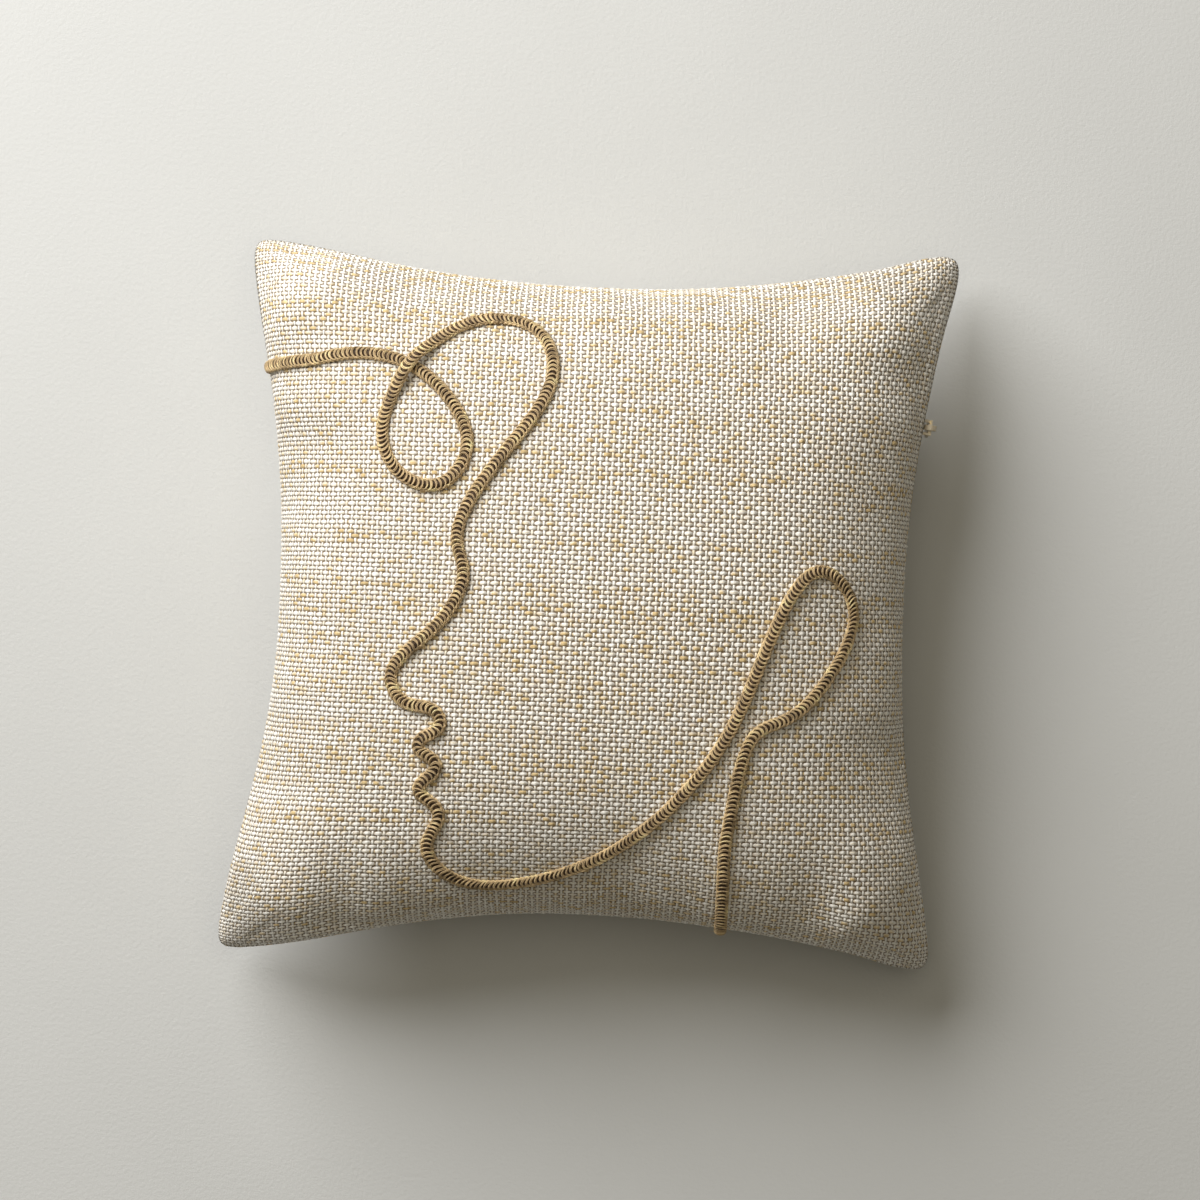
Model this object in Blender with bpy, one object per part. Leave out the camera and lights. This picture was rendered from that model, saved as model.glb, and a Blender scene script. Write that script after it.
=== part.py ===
"""Ring pillow: a square woven cover with a couched cord drawing, a concealed zip in its right side seam and
a fibre-filled insert. It lies on its back: +X right, +Y to the top of the drawing, +Z up, metres."""

import math

import bmesh
import bpy
import numpy as np
from mathutils import Matrix, Vector

# Cover
COVER_HALF = 0.095          # centre to a corner tip, along X or Y
SIDE_PULL = 0.0116          # how far the middle of each side is drawn in
FRONT_CROWN = 0.039         # top of the front over the seam
BACK_CROWN = 0.039          # depth of the back below the seam, if it hung free
SEAM_HEIGHT = 0.033         # seam over the surface that the pillow lies on
TIP_ROUNDING = 0.014        # share by which a corner tip is cut back
TIP_POWER = 24              # the higher, the nearer the tip the cut starts
CLOTH = 0.001               # woven cloth
HEM_FROM = 0.85             # the turned-back allowance starts here, 0 centre to 1 rim
GAP = 0.0003                # between neighbouring pieces
THREAD = 0.0005             # sewing thread
SEAM_END = 0.0035           # cover's seam thread, past the zip's stops

# Insert
CASING = 0.0005             # casing cloth
CASING_SETBACK = 0.009      # casing seam, inside the cover's rim
CASING_SEAM_END = 0.002     # half of the gap between the two ends of its seam thread
CASING_TOP_GAP = 0.0014     # room for the couching thread below the cover's front
FILL_SETBACK = 0.0014       # fibre, inside the casing's outside

# Cord, couched on the front
CORD = 0.0035
CORD_DROP = 0.0022          # how far its last end passes below the seam
CORD_GAP = 0.0005           # to the cloth below it
CORD_STEP = 0.0045          # between the points of its tube
ROUTE_STEP = 0.0005         # between the points of its finely divided line
HUMP = 0.011                # half-length of the rise where it passes over itself
UNDER_GAP = 0.0007          # couching thread to the cloth above it
ROUTE = (
    (-0.076, 0.0605), (-0.062, 0.0625), (-0.048, 0.059), (-0.037, 0.049), (-0.0335, 0.038),
    (-0.040, 0.029), (-0.051, 0.0315), (-0.056, 0.042), (-0.0525, 0.054), (-0.043, 0.066),
    (-0.029, 0.0725), (-0.0155, 0.069), (-0.012, 0.057), (-0.021, 0.041), (-0.032, 0.025),
    (-0.035, 0.014), (-0.033, 0.0055), (-0.041, -0.009), (-0.051, -0.020), (-0.0475, -0.0275),
    (-0.0395, -0.0295), (-0.038, -0.034), (-0.0435, -0.0385), (-0.038, -0.044),
    (-0.0425, -0.0495), (-0.037, -0.0555), (-0.0395, -0.064), (-0.032, -0.073),
    (-0.012, -0.073), (0.009, -0.064), (0.026, -0.049), (0.038, -0.031), (0.047, -0.008),
    (0.059, 0.010), (0.068, 0.002), (0.064, -0.015), (0.053, -0.028), (0.0445, -0.0325),
    (0.040, -0.045), (0.0375, -0.063),
)                           # seen from above
ENTRY_Y = 0.057             # where it comes over the left edge
EXIT_X = 0.037              # where it leaves over the bottom edge

# Zip, in the right side seam
ZIP_HALF = 0.058            # centre to either end of the coils
ZIP_LIP = 0.001             # half of the slit between the cover's lips
SEAM_LIP = 0.00055          # half of the gap that the seam thread fills elsewhere
TAPE = 0.0005
TAPE_WIDTH = 0.0062
COIL = 0.0011               # square envelope of one coil
ZIP_CLEARANCE = 0.0005      # tape to the allowance it is sewn to, at its tightest
NECK = 0.001                # thickness of the slider's neck and bail
SLIDER_LENGTH = 0.008
SLIDER_WALL = 0.0008
SLIDER_REST = 0.050         # the slider's place along the seam when the zip is shut
BAIL_OUT = 0.0023           # centre of the bail's bar, outside the seam
BAIL_BAR = 0.0009
BAIL_WINDOW = 0.0013        # half of the window's length along the seam
PULL_EYE = 0.0009           # radius of the pull's eye
PULL_RIM = 0.0008
PULL_LENGTH = 0.0125
PULL_WIDTH = 0.0044
PULL_THICK = 0.0008
STOP_LENGTH = 0.0025
SLIT_SPARE = 0.001          # slit, past the stops
HANGING_HOLE = 0.45         # hole in the pull's round end, as a share of it

# Fineness of the meshes
PANEL_CELLS = 20
CASING_CELLS = 14
FINE_POINTS = 4001          # along a spline, before it is evened
TRIALS = 30                 # steps that undo plan()
ZIP_CELL = 0.006            # along the zip
SMOOTH_UNDER = math.radians(40)

SEAM_RADIUS = COVER_HALF**2 / (2 * SIDE_PULL)   # arc of a drawn-in side
PIVOT_X = COVER_HALF - SIDE_PULL + SEAM_RADIUS  # centre of the right side's arc


def fresh_scene():
    for thing in list(bpy.data.objects):
        bpy.data.objects.remove(thing, do_unlink=True)
    made = []
    for name in ("ring_pillow", "cutters"):
        collection = bpy.data.collections.new(name)
        bpy.context.scene.collection.children.link(collection)
        made.append(collection)
    return made


def material(name, colour, roughness, metallic=0.0):
    made = bpy.data.materials.new(name)
    made.use_nodes = True
    shader = made.node_tree.nodes["Principled BSDF"]
    shader.inputs["Base Color"].default_value = (*colour, 1)
    shader.inputs["Roughness"].default_value = roughness
    shader.inputs["Metallic"].default_value = metallic
    return made


def add_object(name, data, look, parent=None):
    made = bpy.data.objects.new(name, data)
    PILLOW.objects.link(made)
    data.materials.append(look)
    made.parent = parent
    return made


def face_out(bm):
    """Faces made to agree, and turned round if a thin wall has misled the first step."""
    bmesh.ops.recalc_face_normals(bm, faces=bm.faces)
    if bm.calc_volume(signed=True) < 0:
        bmesh.ops.reverse_faces(bm, faces=bm.faces)


def add_mesh(name, bm, look, parent=None):
    face_out(bm)
    mesh = bpy.data.meshes.new(name)
    bm.to_mesh(mesh)
    bm.free()
    mesh.shade_smooth()
    mesh.set_sharp_from_angle(angle=SMOOTH_UNDER)
    return add_object(name, mesh, look, parent)


# The pillow's form. A dome's point has two coordinates, a and b, from -1 to 1 and even in angle, so that
# rows crowd at the rim. Its plan is a square with sides drawn in as parabolas, its sections half ellipses.


def plan(a, b, half, pull):
    """Plan point for (a, b): sides drawn in by pull, tips cut back a little."""
    s = math.sin(a * math.pi / 2)
    t = math.sin(b * math.pi / 2)
    share = pull / half
    tip = 1 - TIP_ROUNDING * abs(s * t) ** TIP_POWER
    x = half * s * tip * (1 - share * (1 - t * t) * s * s)
    y = half * t * tip * (1 - share * (1 - s * s) * t * t)
    return x, y


def dome(a, b, half, pull, crown, inset=0.0):
    """Point of a dome over the seam plane, moved inwards by inset along the surface's normal."""
    x, y = plan(a, b, half, pull)
    s = math.sin(a * math.pi / 2)
    t = math.sin(b * math.pi / 2)
    z = crown * math.cos(a * math.pi / 2) * math.cos(b * math.pi / 2)
    slight = 1e-4
    normal = Vector((
        s * (1 - t * t + slight) / half,
        t * (1 - s * s + slight) / half,
        z / crown**2 + 1e-9,
    )).normalized()
    return Vector((x, y, z)) - normal * inset


def shell(name, cells, outer, inner, look):
    """One closed body between two grids of the same cells, joined round their rims."""
    bm = bmesh.new()
    sheets = []
    for place in (outer, inner):
        grid = bmesh.ops.create_grid(bm, x_segments=cells, y_segments=cells, size=1)["verts"]
        rim = [edge for edge in {e for v in grid for e in v.link_edges} if edge.is_boundary]
        sheets.append((grid, rim))
        for vert in grid:
            vert.co = place(vert.co.x, vert.co.y)
    (outer_grid, rim), (inner_grid, _) = sheets
    partner = dict(zip(outer_grid, inner_grid))
    for edge in rim:
        first, second = edge.verts
        bm.faces.new((first, second, partner[second], partner[first]))
    return add_mesh(name, bm, look)


def in_zip(a, b):
    """Whether a rim point of the cover lies in the zip's slit."""
    _, y = plan(a, b, COVER_HALF, SIDE_PULL)
    return a > 0.99 and abs(y) < ZIP_HALF + STOP_LENGTH + SLIT_SPARE


def cover_inset(a, b):
    """Cloth, or cloth with its turned-back allowance."""
    return CLOTH * (2 if max(abs(a), abs(b)) > HEM_FROM else 1)


def front_place(a, b, inset):
    point = dome(a, b, COVER_HALF, SIDE_PULL, FRONT_CROWN, inset)
    lip = ZIP_LIP if in_zip(a, b) else SEAM_LIP
    return Vector((point.x, point.y, SEAM_HEIGHT + max(point.z, lip)))


def back_place(a, b, inset):
    point = dome(a, b, COVER_HALF, SIDE_PULL, BACK_CROWN, inset)
    lip = ZIP_LIP if in_zip(a, b) else SEAM_LIP
    return Vector((point.x, point.y, max(SEAM_HEIGHT - max(point.z, lip), inset)))


def casing_place(a, b, side, inset, lip=SEAM_LIP):
    """Point of the insert: side is 1 for its front and -1 for its back."""
    crown = (FRONT_CROWN if side > 0 else BACK_CROWN) - CLOTH - CASING_TOP_GAP
    point = dome(a, b, COVER_HALF - CASING_SETBACK, SIDE_PULL, crown, inset)
    rise = max(point.z, lip)
    if side > 0:
        return Vector((point.x, point.y, SEAM_HEIGHT + rise))
    return Vector((point.x, point.y, max(SEAM_HEIGHT - rise, CLOTH + GAP + inset)))


def cover_and_insert():
    shell("front_panel", PANEL_CELLS, lambda a, b: front_place(a, b, 0.0),
          lambda a, b: front_place(a, b, cover_inset(a, b)), CLOTH_LOOK)
    shell("back_panel", PANEL_CELLS, lambda a, b: back_place(a, b, 0.0),
          lambda a, b: back_place(a, b, cover_inset(a, b)), CLOTH_LOOK)
    shell("casing_front", CASING_CELLS, lambda a, b: casing_place(a, b, 1, 0.0),
          lambda a, b: casing_place(a, b, 1, CASING), CASING_LOOK)
    shell("casing_back", CASING_CELLS, lambda a, b: casing_place(a, b, -1, 0.0),
          lambda a, b: casing_place(a, b, -1, CASING), CASING_LOOK)
    lip = SEAM_LIP - GAP
    shell("fibre_fill", CASING_CELLS, lambda a, b: casing_place(a, b, 1, FILL_SETBACK, lip),
          lambda a, b: casing_place(a, b, -1, FILL_SETBACK, lip), FILL_LOOK)


# Threads and the cord are curves on routes that follow the form.


def tube(name, points, diameter, look, parent=None):
    curve = bpy.data.curves.new(name, "CURVE")
    curve.dimensions = "3D"
    curve.bevel_depth = diameter / 2
    curve.bevel_resolution = 2
    curve.use_fill_caps = True
    line = curve.splines.new("POLY")
    line.points.add(len(points) - 1)
    for spot, point in zip(line.points, points):
        spot.co = (*point, 1)
    line.use_smooth = True
    return add_object(name, curve, look, parent)


def evened(fine, step):
    """Points a step apart along a finely divided line."""
    length = np.concatenate([[0], np.cumsum(np.linalg.norm(np.diff(fine, axis=0), axis=1))])
    even = np.linspace(0, length[-1], int(length[-1] / step) + 1)
    return np.stack([np.interp(even, length, along) for along in fine.T], axis=1)


def smooth_line(points, step):
    """Even points along the natural cubic spline through points."""
    p = np.array(points, float)
    u = np.concatenate([[0], np.cumsum(np.linalg.norm(np.diff(p, axis=0), axis=1) ** 0.5)])
    h = np.diff(u)
    count = len(u)
    system = np.eye(count)
    right = np.zeros_like(p)
    for i in range(1, count - 1):
        system[i, i - 1:i + 2] = h[i - 1], 2 * (h[i - 1] + h[i]), h[i]
        right[i] = 6 * ((p[i + 1] - p[i]) / h[i] - (p[i] - p[i - 1]) / h[i - 1])
    bend = np.linalg.solve(system, right)
    at = np.linspace(0, u[-1], FINE_POINTS)
    k = np.clip(np.searchsorted(u, at) - 1, 0, count - 2)
    before = (u[k + 1] - at)[:, None]
    after = (at - u[k])[:, None]
    span = h[k][:, None]
    fine = (
        (bend[k] * before**3 + bend[k + 1] * after**3) / (6 * span)
        + (p[k] / span - bend[k] * span / 6) * before
        + (p[k + 1] / span - bend[k + 1] * span / 6) * after
    )
    return evened(fine, step)


def on_front(x, y, rise):
    """Point over the front at plan (x, y), rise along the normal. It undoes plan() by repeated trial."""
    s, t = x / COVER_HALF, y / COVER_HALF
    share = SIDE_PULL / COVER_HALF
    for _ in range(TRIALS):
        s = min(max(x / COVER_HALF / (1 - share * (1 - t * t) * s * s), -1), 1)
        t = min(max(y / COVER_HALF / (1 - share * (1 - s * s) * t * t), -1), 1)
    a = math.asin(s) * 2 / math.pi
    b = math.asin(t) * 2 / math.pi
    return dome(a, b, COVER_HALF, SIDE_PULL, FRONT_CROWN, -rise) + Vector((0, 0, SEAM_HEIGHT))


def crossing_rise(flat, step):
    """How much each point is lifted where the cord passes over an earlier stretch of itself."""
    reach = int(3 * HUMP / step)
    rise = np.zeros(len(flat))
    places = np.arange(len(flat)) * step
    for i in range(reach, len(flat)):
        if np.linalg.norm(flat[:i - reach + 1] - flat[i], axis=1).min() < step:
            along = np.clip(np.abs(places - places[i]) / HUMP, 0, 1)
            rise = np.maximum(rise, (CORD + GAP) * np.cos(along * math.pi / 2) ** 2)
    return rise


def left_rim(y):
    """(a, b) of the left rim's point at about y."""
    return -1.0, math.asin(y / COVER_HALF) * 2 / math.pi


def bottom_rim(x):
    """(a, b) of the bottom rim's point at about x."""
    return math.asin(x / COVER_HALF) * 2 / math.pi, -1.0


def beside_rim(a, b, rise):
    """The cord's centre beside the cover's rim, rise over the seam."""
    point = dome(a, b, COVER_HALF, SIDE_PULL, FRONT_CROWN, -CORD / 2 - CORD_GAP)
    return Vector((point.x, point.y, SEAM_HEIGHT + rise))


def cord_route(over_cloth):
    """The drawing laid on the front, over_cloth above it, as fine points. Only a line over it is lifted at
    the crossing: the under thread lies flat."""
    start = plan(*left_rim(ENTRY_Y), COVER_HALF, SIDE_PULL)
    end = plan(*bottom_rim(EXIT_X), COVER_HALF, SIDE_PULL)
    near = 0.995
    flat = smooth_line([(start[0] * near, start[1]), *ROUTE, (end[0], end[1] * near)], ROUTE_STEP)
    lift = crossing_rise(flat, ROUTE_STEP) * (over_cloth > 0)
    return [on_front(x, y, over_cloth + up) for (x, y), up in zip(flat, lift)]


def cord_and_threads():
    laid = cord_route(CORD / 2 + CORD_GAP)
    start = beside_rim(*left_rim(ENTRY_Y), 0.0)
    end = beside_rim(*bottom_rim(EXIT_X), -CORD_DROP)
    tube("line_cord", evened(np.array([start, *laid, end]), CORD_STEP), CORD, CORD_LOOK)
    under = cord_route(-(CLOTH + UNDER_GAP + THREAD / 2))
    clear = 2 * CORD_STEP
    inside = [point for point in under if point.z > SEAM_HEIGHT + clear]
    tube("couching_thread", evened(np.array(inside), 1.5 * CORD_STEP), THREAD, THREAD_LOOK)
    opening = ZIP_HALF + STOP_LENGTH + SEAM_END
    tube("seam_thread", rim_route(COVER_HALF, CLOTH, opening), THREAD, THREAD_LOOK)
    closing = rim_route(COVER_HALF - CASING_SETBACK, CASING, CASING_SEAM_END)
    tube("casing_thread", closing, THREAD, THREAD_LOOK)


def rim_route(half, inset, opening):
    """Round the rim in the seam plane, from above the opening in the right side to below it."""
    per_side = 12
    turn = [-1 + 2 * i / per_side for i in range(per_side)]
    start = [(1.0, b) for b in turn if plan(1.0, b, half, SIDE_PULL)[1] > opening]
    rest = [(-c, 1.0) for c in turn] + [(-1.0, -c) for c in turn] + [(c, -1.0) for c in turn]
    end = [(1.0, b) for b in turn if plan(1.0, b, half, SIDE_PULL)[1] < -opening]
    points = []
    for a, b in start + rest + end:
        place = dome(a, b, half, SIDE_PULL, FRONT_CROWN, inset)
        points.append(Vector((place.x, place.y, SEAM_HEIGHT)))
    return points


# The zip follows the right side's arc. Its pieces are drawn round the arc's centre: a point at depth q
# inside the seam, w along it and z above it lies at (-(SEAM_RADIUS + q), w, z).


def wall_depth(z):
    """Depth of the cover's outside at height z, where it turns in most steeply, at the zip's end."""
    crown = FRONT_CROWN * math.sqrt(1 - (ZIP_HALF / COVER_HALF) ** 2)
    half = COVER_HALF - SIDE_PULL
    slope = half * z / crown**2
    return half * (1 - math.sqrt(1 - (z / crown) ** 2)), slope


def tape_depth(z):
    """Depth of the tape's outer face at height z."""
    depth, slope = wall_depth(z)
    return depth + 2 * CLOTH * math.sqrt(1 + slope**2) + ZIP_CLEARANCE


COIL_FROM = NECK / 2 + GAP                          # height of a coil over the seam plane
FLANGE_FROM = COIL_FROM + COIL + GAP
FLANGE_TO = FLANGE_FROM + SLIDER_WALL
COIL_DEPTH = tape_depth(FLANGE_FROM) + TAPE + GAP
PLATE_DEPTH = COIL_DEPTH + COIL + GAP


def arc_angle(w):
    return math.asin(w / SEAM_RADIUS)


def spun(name, profile, low, high, look):
    """A closed body: a profile of (depth, height) points carried along the seam's arc from low to high."""
    start, stop = arc_angle(low), arc_angle(high)
    steps = max(2, round((high - low) / ZIP_CELL))
    bm = bmesh.new()
    verts = [
        bm.verts.new((-(SEAM_RADIUS + q) * math.cos(start), -(SEAM_RADIUS + q) * math.sin(start), z))
        for q, z in profile
    ]
    face = bm.faces.new(verts)
    bmesh.ops.spin(bm, geom=[face, *face.edges, *face.verts], cent=(0, 0, 0), axis=(0, 0, 1),
                   angle=stop - start, steps=steps, use_duplicate=False)
    return add_mesh(name, bm, look, SEAM_CENTRE)


def mirrored(profile, side):
    return [(q, side * z) for q, z in profile]


def round_profile(depth, height, diameter):
    sides = 8
    turns = [2 * math.pi * i / sides for i in range(sides)]
    return [(depth + diameter / 2 * math.cos(t), height + diameter / 2 * math.sin(t)) for t in turns]


def box_profile(q, z, wide, tall):
    return [(q, z), (q + wide, z), (q + wide, z + tall), (q, z + tall)]


def zip_fixed():
    heights = [COIL_FROM + TAPE_WIDTH * i / 4 for i in range(5)]
    tape = [(tape_depth(z), z) for z in heights] + [(tape_depth(z) + TAPE, z) for z in heights[::-1]]
    coil = box_profile(COIL_DEPTH, COIL_FROM, COIL, COIL)
    sewn = COIL_FROM + TAPE_WIDTH - 2 * THREAD
    thread = round_profile(tape_depth(sewn) + TAPE + GAP + THREAD / 2, sewn, THREAD)
    beyond = ZIP_HALF + GAP + STOP_LENGTH
    for side, word in ((1, "front"), (-1, "back")):
        spun(f"zip_tape_{word}", mirrored(tape, side), -beyond, beyond, TAPE_LOOK)
        spun(f"zip_coil_{word}", mirrored(coil, side), -ZIP_HALF, ZIP_HALF, COIL_LOOK)
        spun(f"zip_thread_{word}", mirrored(thread, side), -beyond, beyond, THREAD_LOOK)
    reach = COIL_FROM + COIL
    stop = box_profile(COIL_DEPTH, -reach, COIL, 2 * reach)
    spun("zip_top_stop", stop, ZIP_HALF + GAP, beyond, METAL_LOOK)
    spun("zip_bottom_stop", stop, -beyond, -ZIP_HALF - GAP, METAL_LOOK)


def flat_curve(name, outlines, thickness, look):
    """A plate from closed outlines in its own XY plane, holes among them."""
    curve = bpy.data.curves.new(name, "CURVE")
    curve.dimensions = "2D"
    curve.fill_mode = "BOTH"
    curve.extrude = thickness / 2
    for outline in outlines:
        line = curve.splines.new("POLY")
        line.points.add(len(outline) - 1)
        for spot, (x, y) in zip(line.points, outline):
            spot.co = (x, y, 0, 1)
        line.use_cyclic_u = True
    made = bpy.data.objects.new(name, curve)
    CUTTERS.objects.link(made)
    return as_mesh(made, look)


def as_mesh(curve_object, look):
    """The curve made a welded mesh object, and the curve removed."""
    graph = bpy.context.evaluated_depsgraph_get()
    mesh = bpy.data.meshes.new_from_object(curve_object.evaluated_get(graph))
    bm = bmesh.new()
    bm.from_mesh(mesh)
    bmesh.ops.remove_doubles(bm, verts=bm.verts, dist=1e-6)
    face_out(bm)
    bm.to_mesh(mesh)
    bm.free()
    mesh.shade_smooth()
    mesh.set_sharp_from_angle(angle=SMOOTH_UNDER)
    name = curve_object.name
    bpy.data.objects.remove(curve_object, do_unlink=True)
    mesh.materials.clear()
    mesh.name = name
    made = bpy.data.objects.new(name, mesh)
    mesh.materials.append(look)
    return made


def turned(made, matrix):
    made.data.transform(matrix)
    return made


def joined(name, body, extra, parent):
    """body with extra united to it by a Boolean. extra becomes a hidden helper."""
    body.name = name
    PILLOW.objects.link(body)
    body.parent = parent
    CUTTERS.objects.link(extra)
    extra.parent = parent
    extra.hide_render = True
    extra.display_type = "WIRE"
    union = body.modifiers.new("union", "BOOLEAN")
    union.operation = "UNION"
    union.solver = "EXACT"
    union.object = extra
    return body


def ring(radius, sides=20):
    turns = [2 * math.pi * i / sides for i in range(sides)]
    return [(radius * math.cos(t), radius * math.sin(t)) for t in turns]


def zip_slider():
    """A channel round both coils, with a neck through the slit and a bail outside it."""
    neck = NECK / 2
    depth = PLATE_DEPTH + SLIDER_WALL
    upper = [
        (depth, FLANGE_TO), (COIL_DEPTH + GAP, FLANGE_TO), (COIL_DEPTH + GAP, FLANGE_FROM),
        (PLATE_DEPTH, FLANGE_FROM), (PLATE_DEPTH, neck), (CLOTH, neck),
    ]
    outline = upper + [(q, -z) for q, z in upper[::-1]]
    channel = flat_curve("channel", [outline], SLIDER_LENGTH, METAL_LOOK)
    # The outline's plane holds depth and height; it is extruded along the seam.
    stand = Matrix(((-1, 0, 0, -SEAM_RADIUS), (0, 0, 1, 0), (0, 1, 0, 0), (0, 0, 0, 1)))
    turned(channel, stand)
    bar = BAIL_OUT + BAIL_BAR / 2
    ear = BAIL_WINDOW + SLIDER_WALL
    frame = [(-bar, -ear), (2 * CLOTH, -ear), (2 * CLOTH, ear), (-bar, ear)]
    inner = BAIL_OUT - BAIL_BAR / 2
    window = [(-inner, -BAIL_WINDOW), (-GAP, -BAIL_WINDOW), (-GAP, BAIL_WINDOW), (-inner, BAIL_WINDOW)]
    bail = flat_curve("slider_bail", [frame, window], NECK, METAL_LOOK)
    turned(bail, Matrix(((-1, 0, 0, -SEAM_RADIUS), (0, 1, 0, 0), (0, 0, 1, 0), (0, 0, 0, 1))))
    joined("zip_slider", channel, bail, SLIDE_AXIS)


def zip_pull():
    """An eye round the bail's bar and a tab that hangs from it."""
    rim = PULL_EYE + PULL_RIM
    eye = flat_curve("pull_eye", [ring(rim), ring(PULL_EYE)], 2 * BAIL_WINDOW - 4 * GAP, METAL_LOOK)
    # The ring's plane holds depth and height, square to the seam.
    turned(eye, Matrix(((1, 0, 0, 0), (0, 0, 1, 0), (0, 1, 0, 0), (0, 0, 0, 1))))
    wide, narrow = PULL_WIDTH / 2, PULL_WIDTH / 4
    top = -(PULL_EYE + PULL_RIM / 2)
    low = -PULL_LENGTH + wide
    round_end = [(wide * math.cos(t), low - wide * math.sin(t)) for t in np.linspace(0, math.pi, 9)]
    outline = [(narrow, top), *round_end, (-narrow, top)]
    hole = [(x, y + low) for x, y in ring(wide * HANGING_HOLE, 12)]
    tab = flat_curve("pull_tab", [outline, hole], PULL_THICK, METAL_LOOK)
    # The tab's plane holds the seam's direction and height.
    turned(tab, Matrix(((0, 0, 1, 0), (1, 0, 0, 0), (0, 1, 0, 0), (0, 0, 0, 1))))
    joined("zip_pull", eye, tab, PULL_AXIS)


def empty(name, place, parent=None):
    made = bpy.data.objects.new(name, None)
    PILLOW.objects.link(made)
    made.location = place
    made.parent = parent
    return made


PILLOW, CUTTERS = fresh_scene()
CLOTH_LOOK = material("woven_cloth", (0.66, 0.57, 0.44), 0.9)
CORD_LOOK = material("jute_cord", (0.36, 0.24, 0.12), 0.85)
THREAD_LOOK = material("sewing_thread", (0.72, 0.64, 0.52), 0.7)
CASING_LOOK = material("casing_cotton", (0.85, 0.83, 0.79), 0.9)
FILL_LOOK = material("polyester_fibre", (0.92, 0.92, 0.92), 0.95)
TAPE_LOOK = material("zip_tape_cloth", (0.70, 0.62, 0.50), 0.85)
COIL_LOOK = material("zip_coil_nylon", (0.74, 0.67, 0.55), 0.4)
METAL_LOOK = material("zip_metal", (0.62, 0.55, 0.42), 0.35, 0.9)

SEAM_CENTRE = empty("seam_centre", (PIVOT_X, 0, SEAM_HEIGHT))
SLIDE_AXIS = empty("slide_axis", (0, 0, 0), SEAM_CENTRE)
SLIDE_AXIS.rotation_euler.z = -arc_angle(SLIDER_REST)
PULL_AXIS = empty("pull_axis", (-SEAM_RADIUS + BAIL_OUT, 0, 0), SLIDE_AXIS)

cover_and_insert()
cord_and_threads()
zip_fixed()
zip_slider()
zip_pull()
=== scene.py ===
import functools
import math

import bmesh
import bpy
import numpy as np
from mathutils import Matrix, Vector


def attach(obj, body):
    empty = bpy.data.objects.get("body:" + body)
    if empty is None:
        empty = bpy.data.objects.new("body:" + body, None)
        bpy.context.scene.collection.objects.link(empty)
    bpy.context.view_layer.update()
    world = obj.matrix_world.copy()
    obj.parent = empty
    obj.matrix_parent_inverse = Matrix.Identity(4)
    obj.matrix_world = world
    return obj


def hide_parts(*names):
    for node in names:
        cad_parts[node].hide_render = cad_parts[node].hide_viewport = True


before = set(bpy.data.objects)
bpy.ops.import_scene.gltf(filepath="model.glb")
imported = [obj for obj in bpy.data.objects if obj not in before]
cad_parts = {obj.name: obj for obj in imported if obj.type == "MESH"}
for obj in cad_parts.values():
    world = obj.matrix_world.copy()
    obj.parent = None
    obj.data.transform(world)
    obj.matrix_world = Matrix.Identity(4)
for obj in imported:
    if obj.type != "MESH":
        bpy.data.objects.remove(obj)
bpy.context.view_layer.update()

bl_info = {
    "name": "Ring Pillow",
    "version": (1, 0, 0),
    "blender": (4, 5, 0),
    "location": "View3D > Sidebar > Ring Pillow",
    "description": "A woven ring pillow with a couched jute line, an insert and a concealed zip",
    "category": "Mesh",
}

# The form that the frame's solids have, in metres.
COVER_HALF = 0.095
SIDE_PULL = 0.0116
CROWN = 0.039
SEAM_HEIGHT = 0.033
TIP_ROUNDING = 0.014
TIP_POWER = 24
CLOTH = 0.001
GAP = 0.0003
THREAD = 0.0005
CASING = 0.0005
CASING_SETBACK = 0.009
CASING_TOP_GAP = 0.0014
FILL_SETBACK = 0.0014

# The cord's route seen from above, then where it comes over the left seam and where it leaves over
# the bottom one.
ROUTE = (
    (-0.076, 0.0605), (-0.062, 0.0625), (-0.048, 0.059), (-0.037, 0.049), (-0.0335, 0.038),
    (-0.040, 0.029), (-0.051, 0.0315), (-0.056, 0.042), (-0.0525, 0.054), (-0.043, 0.066),
    (-0.029, 0.0725), (-0.0155, 0.069), (-0.012, 0.057), (-0.021, 0.041), (-0.032, 0.025),
    (-0.035, 0.014), (-0.033, 0.0055), (-0.041, -0.009), (-0.051, -0.020), (-0.0475, -0.0275),
    (-0.0395, -0.0295), (-0.038, -0.034), (-0.0435, -0.0385), (-0.038, -0.044),
    (-0.0425, -0.0495), (-0.037, -0.0555), (-0.0395, -0.064), (-0.032, -0.073),
    (-0.012, -0.073), (0.009, -0.064), (0.026, -0.049), (0.038, -0.031), (0.047, -0.008),
    (0.059, 0.010), (0.068, 0.002), (0.064, -0.015), (0.053, -0.028), (0.0445, -0.0325),
    (0.040, -0.045), (0.0375, -0.063),
)
ENTRY_Y = 0.057
EXIT_X = 0.037

# The zip in the right side seam, and the arc that this side follows.
ZIP_HALF = 0.058
STOP_LENGTH = 0.0025
TAPE = 0.0005
TAPE_WIDTH = 0.0062
COIL = 0.0011
ZIP_CLEARANCE = 0.0005
NECK = 0.001
SEAM_RADIUS = COVER_HALF**2 / (2 * SIDE_PULL)
PIVOT_X = COVER_HALF - SIDE_PULL + SEAM_RADIUS

# The settled cover's outline, fuller towards the tips than the solids' and blunt there.
EAR_HALF = 0.0978
EAR_PULL = 0.0144
EAR_ROUNDING = 0.045
EAR_POWER = 14
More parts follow.
